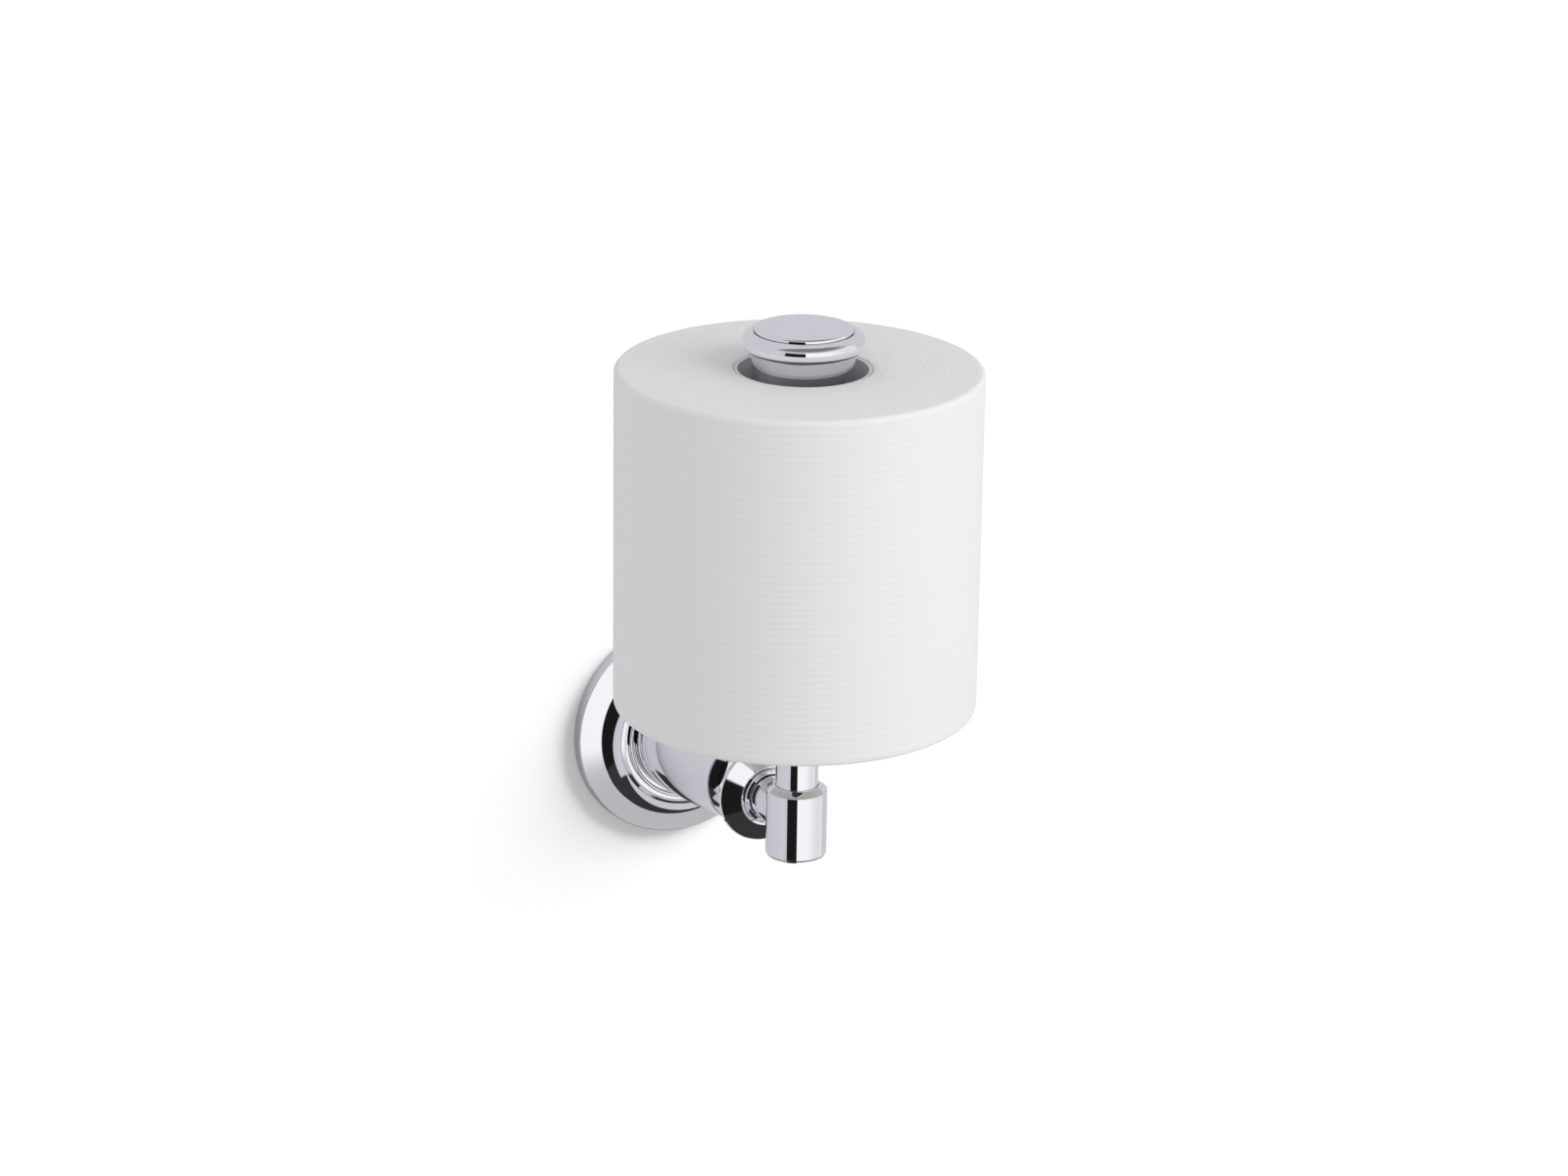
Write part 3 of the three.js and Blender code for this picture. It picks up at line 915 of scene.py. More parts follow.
class WindingTree(GeometryTree):
    """Gives a plain roll its embossed ribs, wound layers, loose outer sheet and slight lean."""

    def __init__(self) -> None:
        """Builds the tree."""
        super().__init__("wound_tissue")
        centre = self.size("Centre", "NodeSocketVector")
        rib_pitch, rib_height = self.size("Rib Pitch"), self.size("Rib Height")
        thread_count, thread_height = self.size("Threads"), self.size("Thread Height")
        layer, layer_height = self.size("Layer"), self.size("Layer Height")
        inner, outer = self.size("Inner Radius"), self.size("Outer Radius")
        lean = self.size("Lean", "NodeSocketVector")
        sheet_edge, sheet_angle = self.size("Sheet Thickness"), self.size("Sheet Angle")
        finish = self.size("Finish", "NodeSocketMaterial")

        place = self.wire("GeometryNodeInputPosition")
        local = self.wire("ShaderNodeVectorMath", 0, {"operation": "SUBTRACT"}, {0: place, 1: centre})
        x, y, z = self.split(local)
        radius = self.math("SQRT", x * x + y * y)
        angle = self.math("ARCTAN2", y, x)
        normal = self.wire("GeometryNodeInputNormal")
        facing = self.math("ABSOLUTE", self.split(normal)[2])
        side = 1.0 - self.ease(facing, 0.25, 0.8)
        end = self.ease(facing, 0.85, 0.99)

        drift = self.noise(local, 38.0, 2.0)
        patch = self.noise(self.stretched(local, (1.0, 1.0, 0.5)), 90.0, 2.0)
        rib = self.math("SINE", z / rib_pitch * math.tau + drift * 5.0)
        thread = self.math("SINE", angle * thread_count + drift * 3.0)
        cloth = rib * rib_height * (patch + 0.5) + thread * thread_height * (patch + 0.3)
        ring = (radius + angle / math.tau * layer) / layer
        comb = self.wire(
            "ShaderNodeTexNoise", 0, {"noise_dimensions": "1D"}, {"W": ring, "Scale": 0.9, "Detail": 2.0}
        )
        crumple = self.noise(local, 260.0, 2.0)
        layers = (comb - 0.5) * layer_height + (crumple - 0.5) * layer_height
        past = self.ease(angle - sheet_angle, 0.0, 0.006)
        worn = self.ease(self.math("ABSOLUTE", angle - sheet_angle), 0.0, 1.4)
        flap = past * (1.0 - worn) * sheet_edge

        push = side * (cloth + flap) + end * layers
        out = self.wire("ShaderNodeVectorMath", 0, {"operation": "SCALE"}, {0: normal, "Scale": push})
        share = self.ease(radius, inner, outer)
        tip = self.wire("ShaderNodeVectorMath", 0, {"operation": "SCALE"}, {0: lean, "Scale": share})
        offset = self.wire("ShaderNodeVectorMath", 0, {"operation": "ADD"}, {0: out, 1: tip})
        base = Wire(self, self.entry.outputs["Geometry"])
        moved = self.wire("GeometryNodeSetPosition", 0, None, {"Geometry": base, "Offset": offset})
        self.close(moved, finish)


# ---------------------------------------------------------------------------
# Sub-assemblies
# ---------------------------------------------------------------------------

def middle(node: str) -> Vector:
    """Middle of a CAD node's box, in metres."""
    return sum(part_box(node), Vector()) / 2


def on_arm(station: float) -> Vector:
    """Point of the arm's axis, in metres, at a station in millimetres."""
    return Vector((0.0, -station * MM, 0.0))


FORM = "_form"
UP = Vector((0.0, 0.0, 1.0))
HEXAGON = 6
GAP = 0.3
TIE_BORE = 3.3
SCREW_BORE = 2.8
WALL_SCREWS = ("wall_screw_left", "wall_screw_right")
THREAD_TREE = ThreadTree()
WINDING_TREE = WindingTree()
CHROME = PolishedChrome("polished_chrome", "chrome", (0.9, 0.905, 0.925), 0.03)
# Painted shade: a darker copy of the polished chrome for the core guide, standing in for the shade inside the core.
SHADED_CHROME = PolishedChrome("dark_chrome", "chrome", (0.6, 0.61, 0.64), 0.06)
STEEL = MachinedMetal("zinc_plated_steel", "steel", (0.56, 0.56, 0.57), 0.34)
BRASS = MachinedMetal("turned_brass", "brass", (0.72, 0.55, 0.27), 0.3)
NYLON = MouldedPlastic("natural_nylon", "nylon", (0.82, 0.81, 0.77), 0.5)
POST_AXIS = middle("post")
POST_CENTRE = Vector((POST_AXIS.x, POST_AXIS.y, 0.0))
BOARD = WoundBoard("wound_board", "core_board", (0.84, 0.84, 0.835), 0.85, (POST_AXIS.x, POST_AXIS.y))
TISSUE = SoftTissue("ribbed_tissue", "tissue", (0.86, 0.86, 0.86), 0.92)


@dataclass
class SubAssembly:
    """Pieces that belong together and ride on one body.

    Attributes:
        body: CAD body that they ride on.
    """

    body: str

    def keep(self, piece: bpy.types.Object, finish: Finish) -> None:
        """Dresses a piece and lets it stand for its CAD node.

        Args:
            piece: The piece, named after its node.
            finish: Its finish.
        """
        piece.data.materials.clear()
        piece.data.materials.append(finish.material())
        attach(piece, self.body)
        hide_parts(piece.name.removesuffix(FORM))
        LOG.info("%s: %d faces in %s", piece.name, len(piece.data.polygons), finish.name)


def turned(
    node: str, axis: Axis, corners: Sequence[Corner], segments: int = 144, centre: Optional[Vector] = None
) -> bpy.types.Object:
    """Turns a piece.

    Args:
        node: CAD node that it will stand for.
        axis: Axis that it is turned about.
        corners: Its outline.
        segments: Facets round the axis.
        centre: Point on the axis at height zero, in metres; the arm's or the post's if not given.

    Returns:
        A loose object.
    """
    if centre is None:
        centre = Vector() if axis is Axis.ARM else POST_CENTRE
    name = node + FORM
    return loose_object(name, Turning(corners, axis, segments).mesh(name, centre))


def band(inner: float, span: Span, *roundings: float) -> list[Corner]:
    """Outline of a ring, or of a disc if its bore is 0.

    Args:
        inner: Radius of its bore in millimetres.
        span: Where it lies.
        roundings: Of its lower inner, lower outer, upper outer and upper inner edge.

    Returns:
        The four corners.
    """
    edges = ((inner, span.foot), (span.radius, span.foot), (span.radius, span.top), (inner, span.top))
    return [Corner(r, h, rounding) for (r, h), rounding in zip(edges, roundings)]


@dataclass(frozen=True)
class Thread:
    """Form of a screw thread, in millimetres.

    Attributes:
        root: Radius of the shank that it is wound on.
        pitch: Rise in one turn.
        depth: Radius of the wound ridge.
    """

    root: float
    pitch: float
    depth: float

    def wind(
        self, piece: bpy.types.Object, length: float, foot: Vector, tilt: float, start: Optional[float] = None
    ) -> bpy.types.Object:
        """Winds the thread round a screw.

        Args:
            piece: The screw.
            length: Length of the thread.
            foot: Where it starts on the screw's axis, in metres.
            tilt: Turn about X from upwards to the thread's direction, in radians.
            start: Radius where it starts, the root's if not given.

        Returns:
            The screw.
        """
        return THREAD_TREE.apply(piece, {
            "Start Radius": (self.root if start is None else start) * MM,
            "End Radius": self.root * MM,
            "Length": length * MM,
            "Turns": length / self.pitch,
            "Depth": self.depth * MM,
            "Foot": foot,
            "Tilt": (tilt, 0.0, 0.0),
            "Finish": STEEL.material(),
        })


@dataclass(frozen=True)
class SetScrew:
    """Headless screw with a hexagon socket, in millimetres.

    Attributes:
        radius: Its radius.
        point: Width and height of the chamfer at its point.
        socket: Radius and depth of its socket.
    """

    radius: float = 1.25
    point: tuple[float, float] = (0.4, 0.8)
    socket: tuple[float, float] = (0.8, 1.4)

    @property
    def hole(self) -> float:
        """Radius of the hole that it sits in."""
        return self.radius + GAP

    def build(self, node: str, outward: Vector) -> bpy.types.Object:
        """Makes the screw.

        Args:
            node: CAD node that it will stand for.
            outward: Direction that its socket faces.

        Returns:
            A loose object.
        """
        low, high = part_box(node)
        centre, half = (low + high) / 2, max(high - low) / 2
        length = 2 * half / MM
        width, height = self.point
        piece = turned(node, Axis.POST, [
            Corner(0.0, 0.0),
            Corner(self.radius - width, 0.0, 0.1),
            Corner(self.radius, height),
            Corner(self.radius, length, 0.2),
            Corner(0.0, length),
        ], 40, Vector())
        piece.data.transform(outward.to_track_quat("Z", "Y").to_matrix().to_4x4())
        piece.data.transform(Matrix.Translation(centre - outward * half))
        end = centre + outward * half
        radius, depth = self.socket
        return carve(piece, [prism(end - outward * depth * MM, end + outward * MM, radius, HEXAGON)])


@dataclass(frozen=True)
class SocketScrew:
    """Cylinder head screw with a hexagon socket, on the post's axis, in millimetres.

    Attributes:
        head: Height of its head.
        head_radius: Radius of its head.
        socket: Radius of its socket, and the share of the head that it goes down.
        thread: Its thread.
    """

    head: float
    head_radius: float = 4.2
    socket: tuple[float, float] = (1.7, 0.6)
    thread: Thread = Thread(2.2, 0.8, 0.3)

    def build(self, node: str, point: Vector) -> bpy.types.Object:
        """Makes the screw.

        Args:
            node: CAD node that it will stand for.
            point: Direction that its thread points, up or down.

        Returns:
            A loose object.
        """
        low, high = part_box(node)
        length, root = (high.z - low.z) / MM, self.thread.root
        piece = turned(node, Axis.POST, [
            Corner(0.0, 0.0),
            Corner(self.head_radius, 0.0, 0.4),
            Corner(self.head_radius, self.head, 0.15),
            Corner(root, self.head),
            Corner(root, length, 0.3),
            Corner(0.0, length),
        ], 64, Vector())
        upward = point.z > 0
        foot = Vector((POST_AXIS.x, POST_AXIS.y, low.z if upward else high.z))
        tilt = 0.0 if upward else math.pi
        piece.data.transform(Matrix.Rotation(tilt, 4, "X"))
        piece.data.transform(Matrix.Translation(foot))
        radius, share = self.socket
        carve(piece, [prism(foot - point * MM, foot + point * share * self.head * MM, radius, HEXAGON)])
        run = length - self.head - 2 * GAP
        return self.thread.wind(piece, run, foot + point * (self.head + GAP) * MM, tilt)


@dataclass(frozen=True)
class WallScrew:
    """Round head screw with a cross recess, along the arm, in millimetres.

    Attributes:
        shank: Radius of its plain shank.
        head: Height of its head.
        plain: How far the plain shank, its taper and the thread's end lie under the head.
        point: Length of its point.
        tip: Radius where the point's thread starts.
        recess: Length, twice the depth, and width of the recess's arms.
        thread: Its thread.
    """

    shank: float = 2.0
    head: float = 2.4
    plain: tuple[float, float, float] = (3.4, 4.0, 4.2)
    point: float = 6.0
    tip: float = 0.15
    recess: tuple[float, float, float] = (4.6, 2.2, 0.9)
    thread: Thread = Thread(1.55, 1.6, 0.5)

    def build(self, node: str) -> bpy.types.Object:
        """Makes the screw.

        Args:
            node: CAD node that it will stand for.

        Returns:
            A loose object.
        """
        span = Span.of(node, Axis.ARM)
        centre = Vector((middle(node).x, 0.0, 0.0))
        root, start, under = self.thread.root, span.foot + self.point, span.top - self.head
        plain, taper, thread_end = self.plain
        piece = turned(node, Axis.ARM, [
            Corner(0.0, span.foot),
            Corner(root, start),
            Corner(root, under - taper),
            Corner(self.shank, under - plain),
            Corner(self.shank, under),
            Corner(span.radius, under, 0.15),
            Corner(span.radius, span.top, 1.6),
            Corner(0.0, span.top),
        ], 48, centre)
        carve(piece, [self.slot(centre + on_arm(span.top), turn) for turn in (0.0, math.pi / 2)])
        self.thread.wind(piece, under - thread_end - start, centre + on_arm(start), math.pi / 2)
        return self.thread.wind(piece, self.point, centre + on_arm(span.foot), math.pi / 2, self.tip)

    def slot(self, top: Vector, turn: float) -> bpy.types.Object:
        """One arm of the recess, used as a cutter.

        Args:
            top: Middle of the head's top, in metres.
            turn: Angle about the axis.

        Returns:
            A loose object.
        """
        made = bmesh.new()
        size = Matrix.Diagonal((*(side * MM for side in self.recess), 1.0))
        place = Matrix.Translation(top) @ Matrix.Rotation(turn, 4, "Y") @ size
        bmesh.ops.create_cube(made, size=1.0, matrix=place)
        return loose_object("cutter", finished_mesh(made, "cutter"))


@dataclass
class WallMount(SubAssembly):
    """Bracket, its two screws, the flange that hides them, the bead ring and the set screw.

    Attributes:
        rim_depth: Depth of the side of the flange's rim, in millimetres like the rest.
        rim_draft: How much smaller the rim is at its front.
        facet: How far the CAD node's facets cut the rim short.
        cove_foot: Station where the nearly flat face ends.
        cove_top: Station where the dark cove ends.
        cove_width: Width of the cove.
        cove_sag: Hollow of the cove.
        land_rise: Rise of the narrow land inside the cove.
        land: Width of the land.
        groove: Gap left outside the bead ring.
        groove_depth: Depth of the groove inside the land.
        web: Wall of the hub.
        spigot: Height and radius of the ring that centres the barrel.
        bead_width: Width of the bead ring.
        bracket_gap: Radial gap round the bracket.
        bracket_hole: Radius of the bracket's screw holes.
        notch: Depth of the notch that the set screw presses into.
        set_screw: The screw under the flange.
    """

    body: str = "holder"
    rim_depth: float = 4.0
    rim_draft: float = 0.3
    facet: float = 0.03
    cove_foot: float = 6.2
    cove_top: float = 10.65
    cove_width: float = 5.2
    cove_sag: float = 0.4
    land_rise: float = 0.55
    land: float = 1.35
    groove: float = 1.35
    groove_depth: float = 0.8
    web: float = 2.3
    spigot: tuple[float, float] = (3.0, 17.35)
    bead_width: float = 1.25
    bracket_gap: float = 0.6
    bracket_hole: float = 2.3
    notch: float = 2.0
    set_screw: SetScrew = SetScrew()

    def drill(self, start: float, end: float) -> bpy.types.Object:
        """A cutter for the set screw's hole.

        Args:
            start: Its start's distance below the arm's axis.
            end: Its end's distance.

        Returns:
            A loose object.
        """
        y = middle("flange_set_screw").y
        return prism(Vector((0.0, y, -start * MM)), Vector((0.0, y, -end * MM)), self.set_screw.hole)

    def bracket(self) -> None:
        """Turns the bracket, drills it and notches it for the set screw."""
        plate = Span.of("wall_bracket", Axis.ARM)
        piece = turned("wall_bracket", Axis.ARM, band(0.0, plate, 0.0, 0.2, 0.6, 0.0), 128)
        tools = []
        for node in WALL_SCREWS:
            axis = Vector((middle(node).x, 0.0, 0.0))
            tools.append(prism(axis + on_arm(-1.0), axis + on_arm(plate.top + 1.0), self.bracket_hole))
        tools.append(self.drill(plate.radius - self.notch, plate.radius + 1))
        self.keep(carve(piece, tools), STEEL)

    def flange(self) -> None:
        """Turns the flange and drills its set screw's hole."""
        bracket = Span.of("wall_bracket", Axis.ARM)
        outer = Span.of("wall_flange", Axis.ARM).radius + self.facet
        seat = Span.of("bead_ring", Axis.ARM).radius + self.groove
        cove_inner = seat + self.land
        cove_outer = cove_inner + self.cove_width
        cavity = bracket.radius + self.bracket_gap
        hub_top = self.cove_top + self.land_rise
        floor = hub_top - self.groove_depth
        back = floor - self.web
        height, radius = self.spigot
        piece = turned("wall_flange", Axis.ARM, [
            Corner(cavity, 0.0),
            Corner(outer, 0.0, 0.4),
            Corner(outer - self.rim_draft, self.rim_depth, 0.45),
            *swell(Corner(cove_outer, self.cove_foot), Corner(cove_inner, self.cove_top), -self.cove_sag),
            Corner(seat, hub_top, 0.25),
            Corner(seat, floor, 0.1),
            Corner(radius, floor),
            Corner(radius, floor + height, 0.5),
            Corner(TIE_BORE, floor + height),
            Corner(TIE_BORE, back),
            Corner(cove_inner - 2 * self.web, back),
            Corner(cove_inner - self.web, back - self.web / 2),
            Corner(cove_outer - self.web, self.cove_foot - self.web),
            Corner(cavity, self.cove_foot - 1.2 * self.web),
        ], 180)
        self.keep(carve(piece, [self.drill(bracket.radius, outer + 2)]), CHROME)

    def bead(self) -> None:
        """Turns the bright ring at the barrel's root."""
        ring = Span.of("bead_ring", Axis.ARM)
        outline = band(ring.radius - self.bead_width, ring, 0.0, 0.0, 0.6, 0.6)
        self.keep(turned("bead_ring", Axis.ARM, outline, 160), CHROME)

    def build(self) -> None:
        """Builds every piece."""
        self.bracket()
        for node in WALL_SCREWS:
            self.keep(WallScrew().build(node), STEEL)
        self.flange()
        self.keep(self.set_screw.build("flange_set_screw", -UP), STEEL)
        self.bead()


@dataclass
class Arm(SubAssembly):
    """Barrel, flared cup, collar, stub and the threaded rod that draws them together.

    Attributes:
        end_radius: Barrel's radius at its free end, in millimetres like the rest.
        bulge: How far the barrel's side swells from a cone.
        wall: Barrel's wall.
        lip: Length and drop of the barrel's rounded end.
        end_wall: Thickness of the barrel's end.
        seat_depth: Depth of the barrel's seat on the flange.
        neck_radius: Radius of the cup's neck.
        cup_spigot: Length and radius of the cup's spigot in the barrel.
        rim: Width and chamfer of the cup's rim.
        dish: Height of the mirror cone in front of the rim.
        front_radius: Radius of the cup's flat front.
        collar_width: Width of the ring round the stub.
        saddle_gap: Gap between the stub and the socket.
        thread: Thread of the tie rod.
    """

    body: str = "holder"
    end_radius: float = 15.0
    bulge: float = 0.4
    wall: float = 2.6
    lip: tuple[float, float] = (1.35, 0.7)
    end_wall: float = 4.0
    seat_depth: float = 3.3
    neck_radius: float = 10.4
    cup_spigot: tuple[float, float] = (4.8, 8.0)
    rim: tuple[float, float] = (0.5, 0.4)
    dish: float = 2.95
    front_radius: float = 10.1
    collar_width: float = 1.6
    saddle_gap: float = 0.08
    thread: Thread = Thread(2.65, 1.0, 0.33)

    def barrel(self) -> None:
        """Turns the tapered barrel."""
        span = Span.of("arm_barrel", Axis.ARM)
        lip_length, lip_drop = self.lip
        side = swell(Corner(span.radius, span.foot), Corner(self.end_radius, span.top - lip_length), self.bulge, 40)
        edge = quarter(side[-1], Corner(self.end_radius - lip_drop, span.top), 10)
        bore = self.cup_spigot[1] + GAP
        end = span.top - self.end_wall
        self.keep(turned("arm_barrel", Axis.ARM, [
            Corner(span.radius - self.wall, span.foot),
            *side,
            *edge[1:],
            Corner(bore, span.top, 0.3),
            Corner(bore, end),
            Corner(self.end_radius - self.wall, end),
            Corner(span.radius - self.wall, span.foot + self.seat_depth),
        ], 180), CHROME)

    def cup(self) -> None:
        """Turns the neck and the flared cup with its mirror face."""
        span = Span.of("flare_cup", Axis.ARM)
        length, radius = self.cup_spigot
        foot = span.foot + length
        width, chamfer = self.rim
        back = span.top - self.dish - width
        self.keep(turned("flare_cup", Axis.ARM, [
            Corner(TIE_BORE, span.foot),
            Corner(radius, span.foot, 0.5),
            Corner(radius, foot),
            *quarter(Corner(self.neck_radius, foot), Corner(span.radius, back), 40),
            Corner(span.radius - chamfer, back + width, 0.25),
            Corner(self.front_radius, span.top, 0.2),
            Corner(TIE_BORE, span.top),
        ], 180), CHROME)

    def collar(self) -> None:
        """Turns the thin ring round the stub."""
        span = Span.of("stub_collar", Axis.ARM)
        outline = band(span.radius - self.collar_width, span, 0.0, 0.0, 0.6, 0.2)
        self.keep(turned("stub_collar", Axis.ARM, outline, 120), CHROME)

    def stub(self) -> None:
        """Turns the stub and shapes its end to the socket."""
        span = Span.of("stub_arm", Axis.ARM)
        socket = Span.of("post_socket", Axis.POST).radius
        reach = -POST_AXIS.y / MM
        blank = Span(span.foot, reach, span.radius)
        piece = turned("stub_arm", Axis.ARM, band(0.0, blank, 0.0, 0.3, 0.0, 0.0), 120)
        half = UP * span.radius * 2 * MM
        self.keep(carve(piece, [
            prism(POST_CENTRE - half, POST_CENTRE + half, socket + self.saddle_gap, 180),
            prism(on_arm(span.foot - 1), on_arm(reach - socket), TIE_BORE),
        ]), CHROME)

    def tie(self) -> None:
        """Makes the tie rod, its washer and its nut."""
        rod = Span.of("tie_rod", Axis.ARM)
        shank = Span(rod.foot, rod.top, self.thread.root)
        piece = turned("tie_rod", Axis.ARM, band(0.0, shank, 0.0, 0.3, 0.3, 0.0), 48)
        self.thread.wind(piece, rod.top - rod.foot, on_arm(rod.top), -math.pi / 2)
        self.keep(piece, STEEL)
        washer = Span.of("tie_washer", Axis.ARM)
        self.keep(turned("tie_washer", Axis.ARM, band(TIE_BORE, washer, *[0.1] * 4), 64), STEEL)
        nut = Span.of("tie_nut", Axis.ARM)
        corner_radius = nut.radius / math.cos(math.pi / HEXAGON)
        blank = prism(on_arm(nut.foot), on_arm(nut.top), corner_radius, HEXAGON)
        blank.name = "tie_nut" + FORM
        self.keep(carve(blank, [prism(on_arm(nut.foot - 1), on_arm(nut.top + 1), TIE_BORE)]), BRASS)

    def build(self) -> None:
        """Builds every piece."""
        self.barrel()
        self.cup()
        self.collar()
        self.stub()
        self.tie()


@dataclass
class Upright(SubAssembly):
    """Socket, domed base, post and the screw that pulls the post down.

    Attributes:
        shoulder: Height of the socket's side, in millimetres like the rest.
        rim: Width left round the post at the socket's top.
        counterbore: Radius and top of the hollow under the socket.
        gap: Clearance round the post.
        base_rim: Height of the upright edge of the base.
        base_wall: Wall of the base's locating ring.
        base_sag: How far the base's dome swells from a cone.
        base_flat: How far its middle lies above its lowest point.
        tapped: Depth of the post's tapped holes.
        screw: The screw that pulls the post down.
    """

    body: str = "holder"
    shoulder: float = 9.4
    rim: float = 0.55
    counterbore: tuple[float, float] = (6.0, -6.5)
    gap: float = 0.15
    base_rim: float = 0.4
    base_wall: float = 1.0
    base_sag: float = 0.3
    base_flat: float = 0.12
    tapped: float = 12.3
    screw: SocketScrew = SocketScrew(3.0)

    def socket(self) -> None:
        """Turns the socket with its stepped bore."""
        span = Span.of("post_socket", Axis.POST)
        post = Span.of("post", Axis.POST)
        bore, seat = post.radius + self.gap, post.foot - GAP
        hollow, hollow_top = self.counterbore
        self.keep(turned("post_socket", Axis.POST, [
            Corner(hollow, span.foot),
            Corner(span.radius, span.foot, 0.3),
            Corner(span.radius, self.shoulder, 0.12),
            Corner(bore + self.rim, span.top, 0.1),
            Corner(bore, span.top, 0.05),
            Corner(bore, seat),
            Corner(SCREW_BORE, seat),
            Corner(SCREW_BORE, hollow_top),
            Corner(hollow, hollow_top),
        ], 180), CHROME)

    def base(self) -> None:
        """Turns the low dome under the socket."""
        span = Span.of("socket_base", Axis.POST)
        top = Span.of("post_socket", Axis.POST).foot - GAP
        outer = self.counterbore[0] - GAP
        inner = outer - self.base_wall
        pole, edge = Corner(0.0, span.foot + self.base_flat), Corner(span.radius, top - self.base_rim)
        self.keep(turned("socket_base", Axis.POST, [
            *swell(pole, edge, self.base_sag),
            Corner(span.radius, top),
            Corner(outer, top),
            Corner(outer, span.top),
            Corner(inner, span.top),
            Corner(inner, top),
            Corner(0.0, top),
        ]), CHROME)

    def post(self) -> None:
        """Turns the post with a tapped hole in each end."""
        span = Span.of("post", Axis.POST)
        self.keep(turned("post", Axis.POST, [
            Corner(0.0, span.foot + self.tapped),
            Corner(SCREW_BORE, span.foot + self.tapped),
            *band(SCREW_BORE, span, 0.2, 0.4, 0.4, 0.2),
            Corner(SCREW_BORE, span.top - self.tapped),
            Corner(0.0, span.top - self.tapped),
        ]), CHROME)

    def build(self) -> None:
        """Builds every piece."""
        self.socket()
        self.base()
        self.post()
        washer = Span.of("post_washer", Axis.POST)
        self.keep(turned("post_washer", Axis.POST, band(SCREW_BORE, washer, *[0.1] * 4), 64), STEEL)
        self.keep(self.screw.build("post_screw", UP), STEEL)


@dataclass
class FixedSeat(SubAssembly):
    """Collar clamped to the post, its set screw and the washer that the seat turns on.

    Attributes:
        bore: Radius of the holes that the post passes through, in millimetres like the rest.
        drill: Where the set screw's hole is cut, from the post's axis.
        set_screw: The screw in the collar.
    """

    body: str = "holder"
    bore: float = 7.1
    drill: tuple[float, float] = (6.0, 13.0)
    set_screw: SetScrew = SetScrew()

    def build(self) -> None:
        """Builds every piece."""
        collar = Span.of("seat_collar", Axis.POST)
        piece = turned("seat_collar", Axis.POST, band(self.bore, collar, 0.2, 0.5, 0.5, 0.2), 128)
        z = middle("collar_set_screw").z
        start, end = (Vector((POST_AXIS.x, POST_AXIS.y + y * MM, z)) for y in self.drill)
        self.keep(carve(piece, [prism(start, end, self.set_screw.hole)]), CHROME)
        self.keep(self.set_screw.build("collar_set_screw", Vector((0.0, 1.0, 0.0))), STEEL)
        washer = Span.of("glide_washer", Axis.POST)
        self.keep(turned("glide_washer", Axis.POST, band(self.bore, washer, *[0.2] * 4), 96), NYLON)


@dataclass
class TurningSeat(SubAssembly):
    """Seat that carries the roll and turns with it.

    Attributes:
        plate_top: Height of the plate's top, in millimetres like the rest.
        hub_radius: Radius of the hub that centres the core.
        wall: Wall of the hub and of the sleeve.
        bore: Radius of the sleeve's bore.
        floor: Thickness of the floor between them.
    """

    body: str = "seat"
    plate_top: float = 38.7
    hub_radius: float = 19.4
    wall: float = 2.0
    bore: float = 7.3
    floor: float = 2.4

    def build(self) -> None:
        """Builds the seat."""
        span = Span.of("roll_seat", Axis.POST)
        floor = span.foot + self.floor
        hub, sleeve = self.hub_radius - self.wall, self.bore + self.wall
        self.keep(turned("roll_seat", Axis.POST, [
            Corner(self.bore, span.foot, 0.3),
            Corner(span.radius, span.foot, 0.8),
            Corner(span.radius, self.plate_top, 0.8),
            Corner(self.hub_radius, self.plate_top, 0.2),
            Corner(self.hub_radius, span.top, 0.9),
            Corner(hub, span.top, 0.3),
            Corner(hub, floor, 0.3),
            Corner(sleeve, floor, 0.3),
            Corner(sleeve, span.top, 0.3),
            Corner(self.bore, span.top, 0.3),
        ]), NYLON)


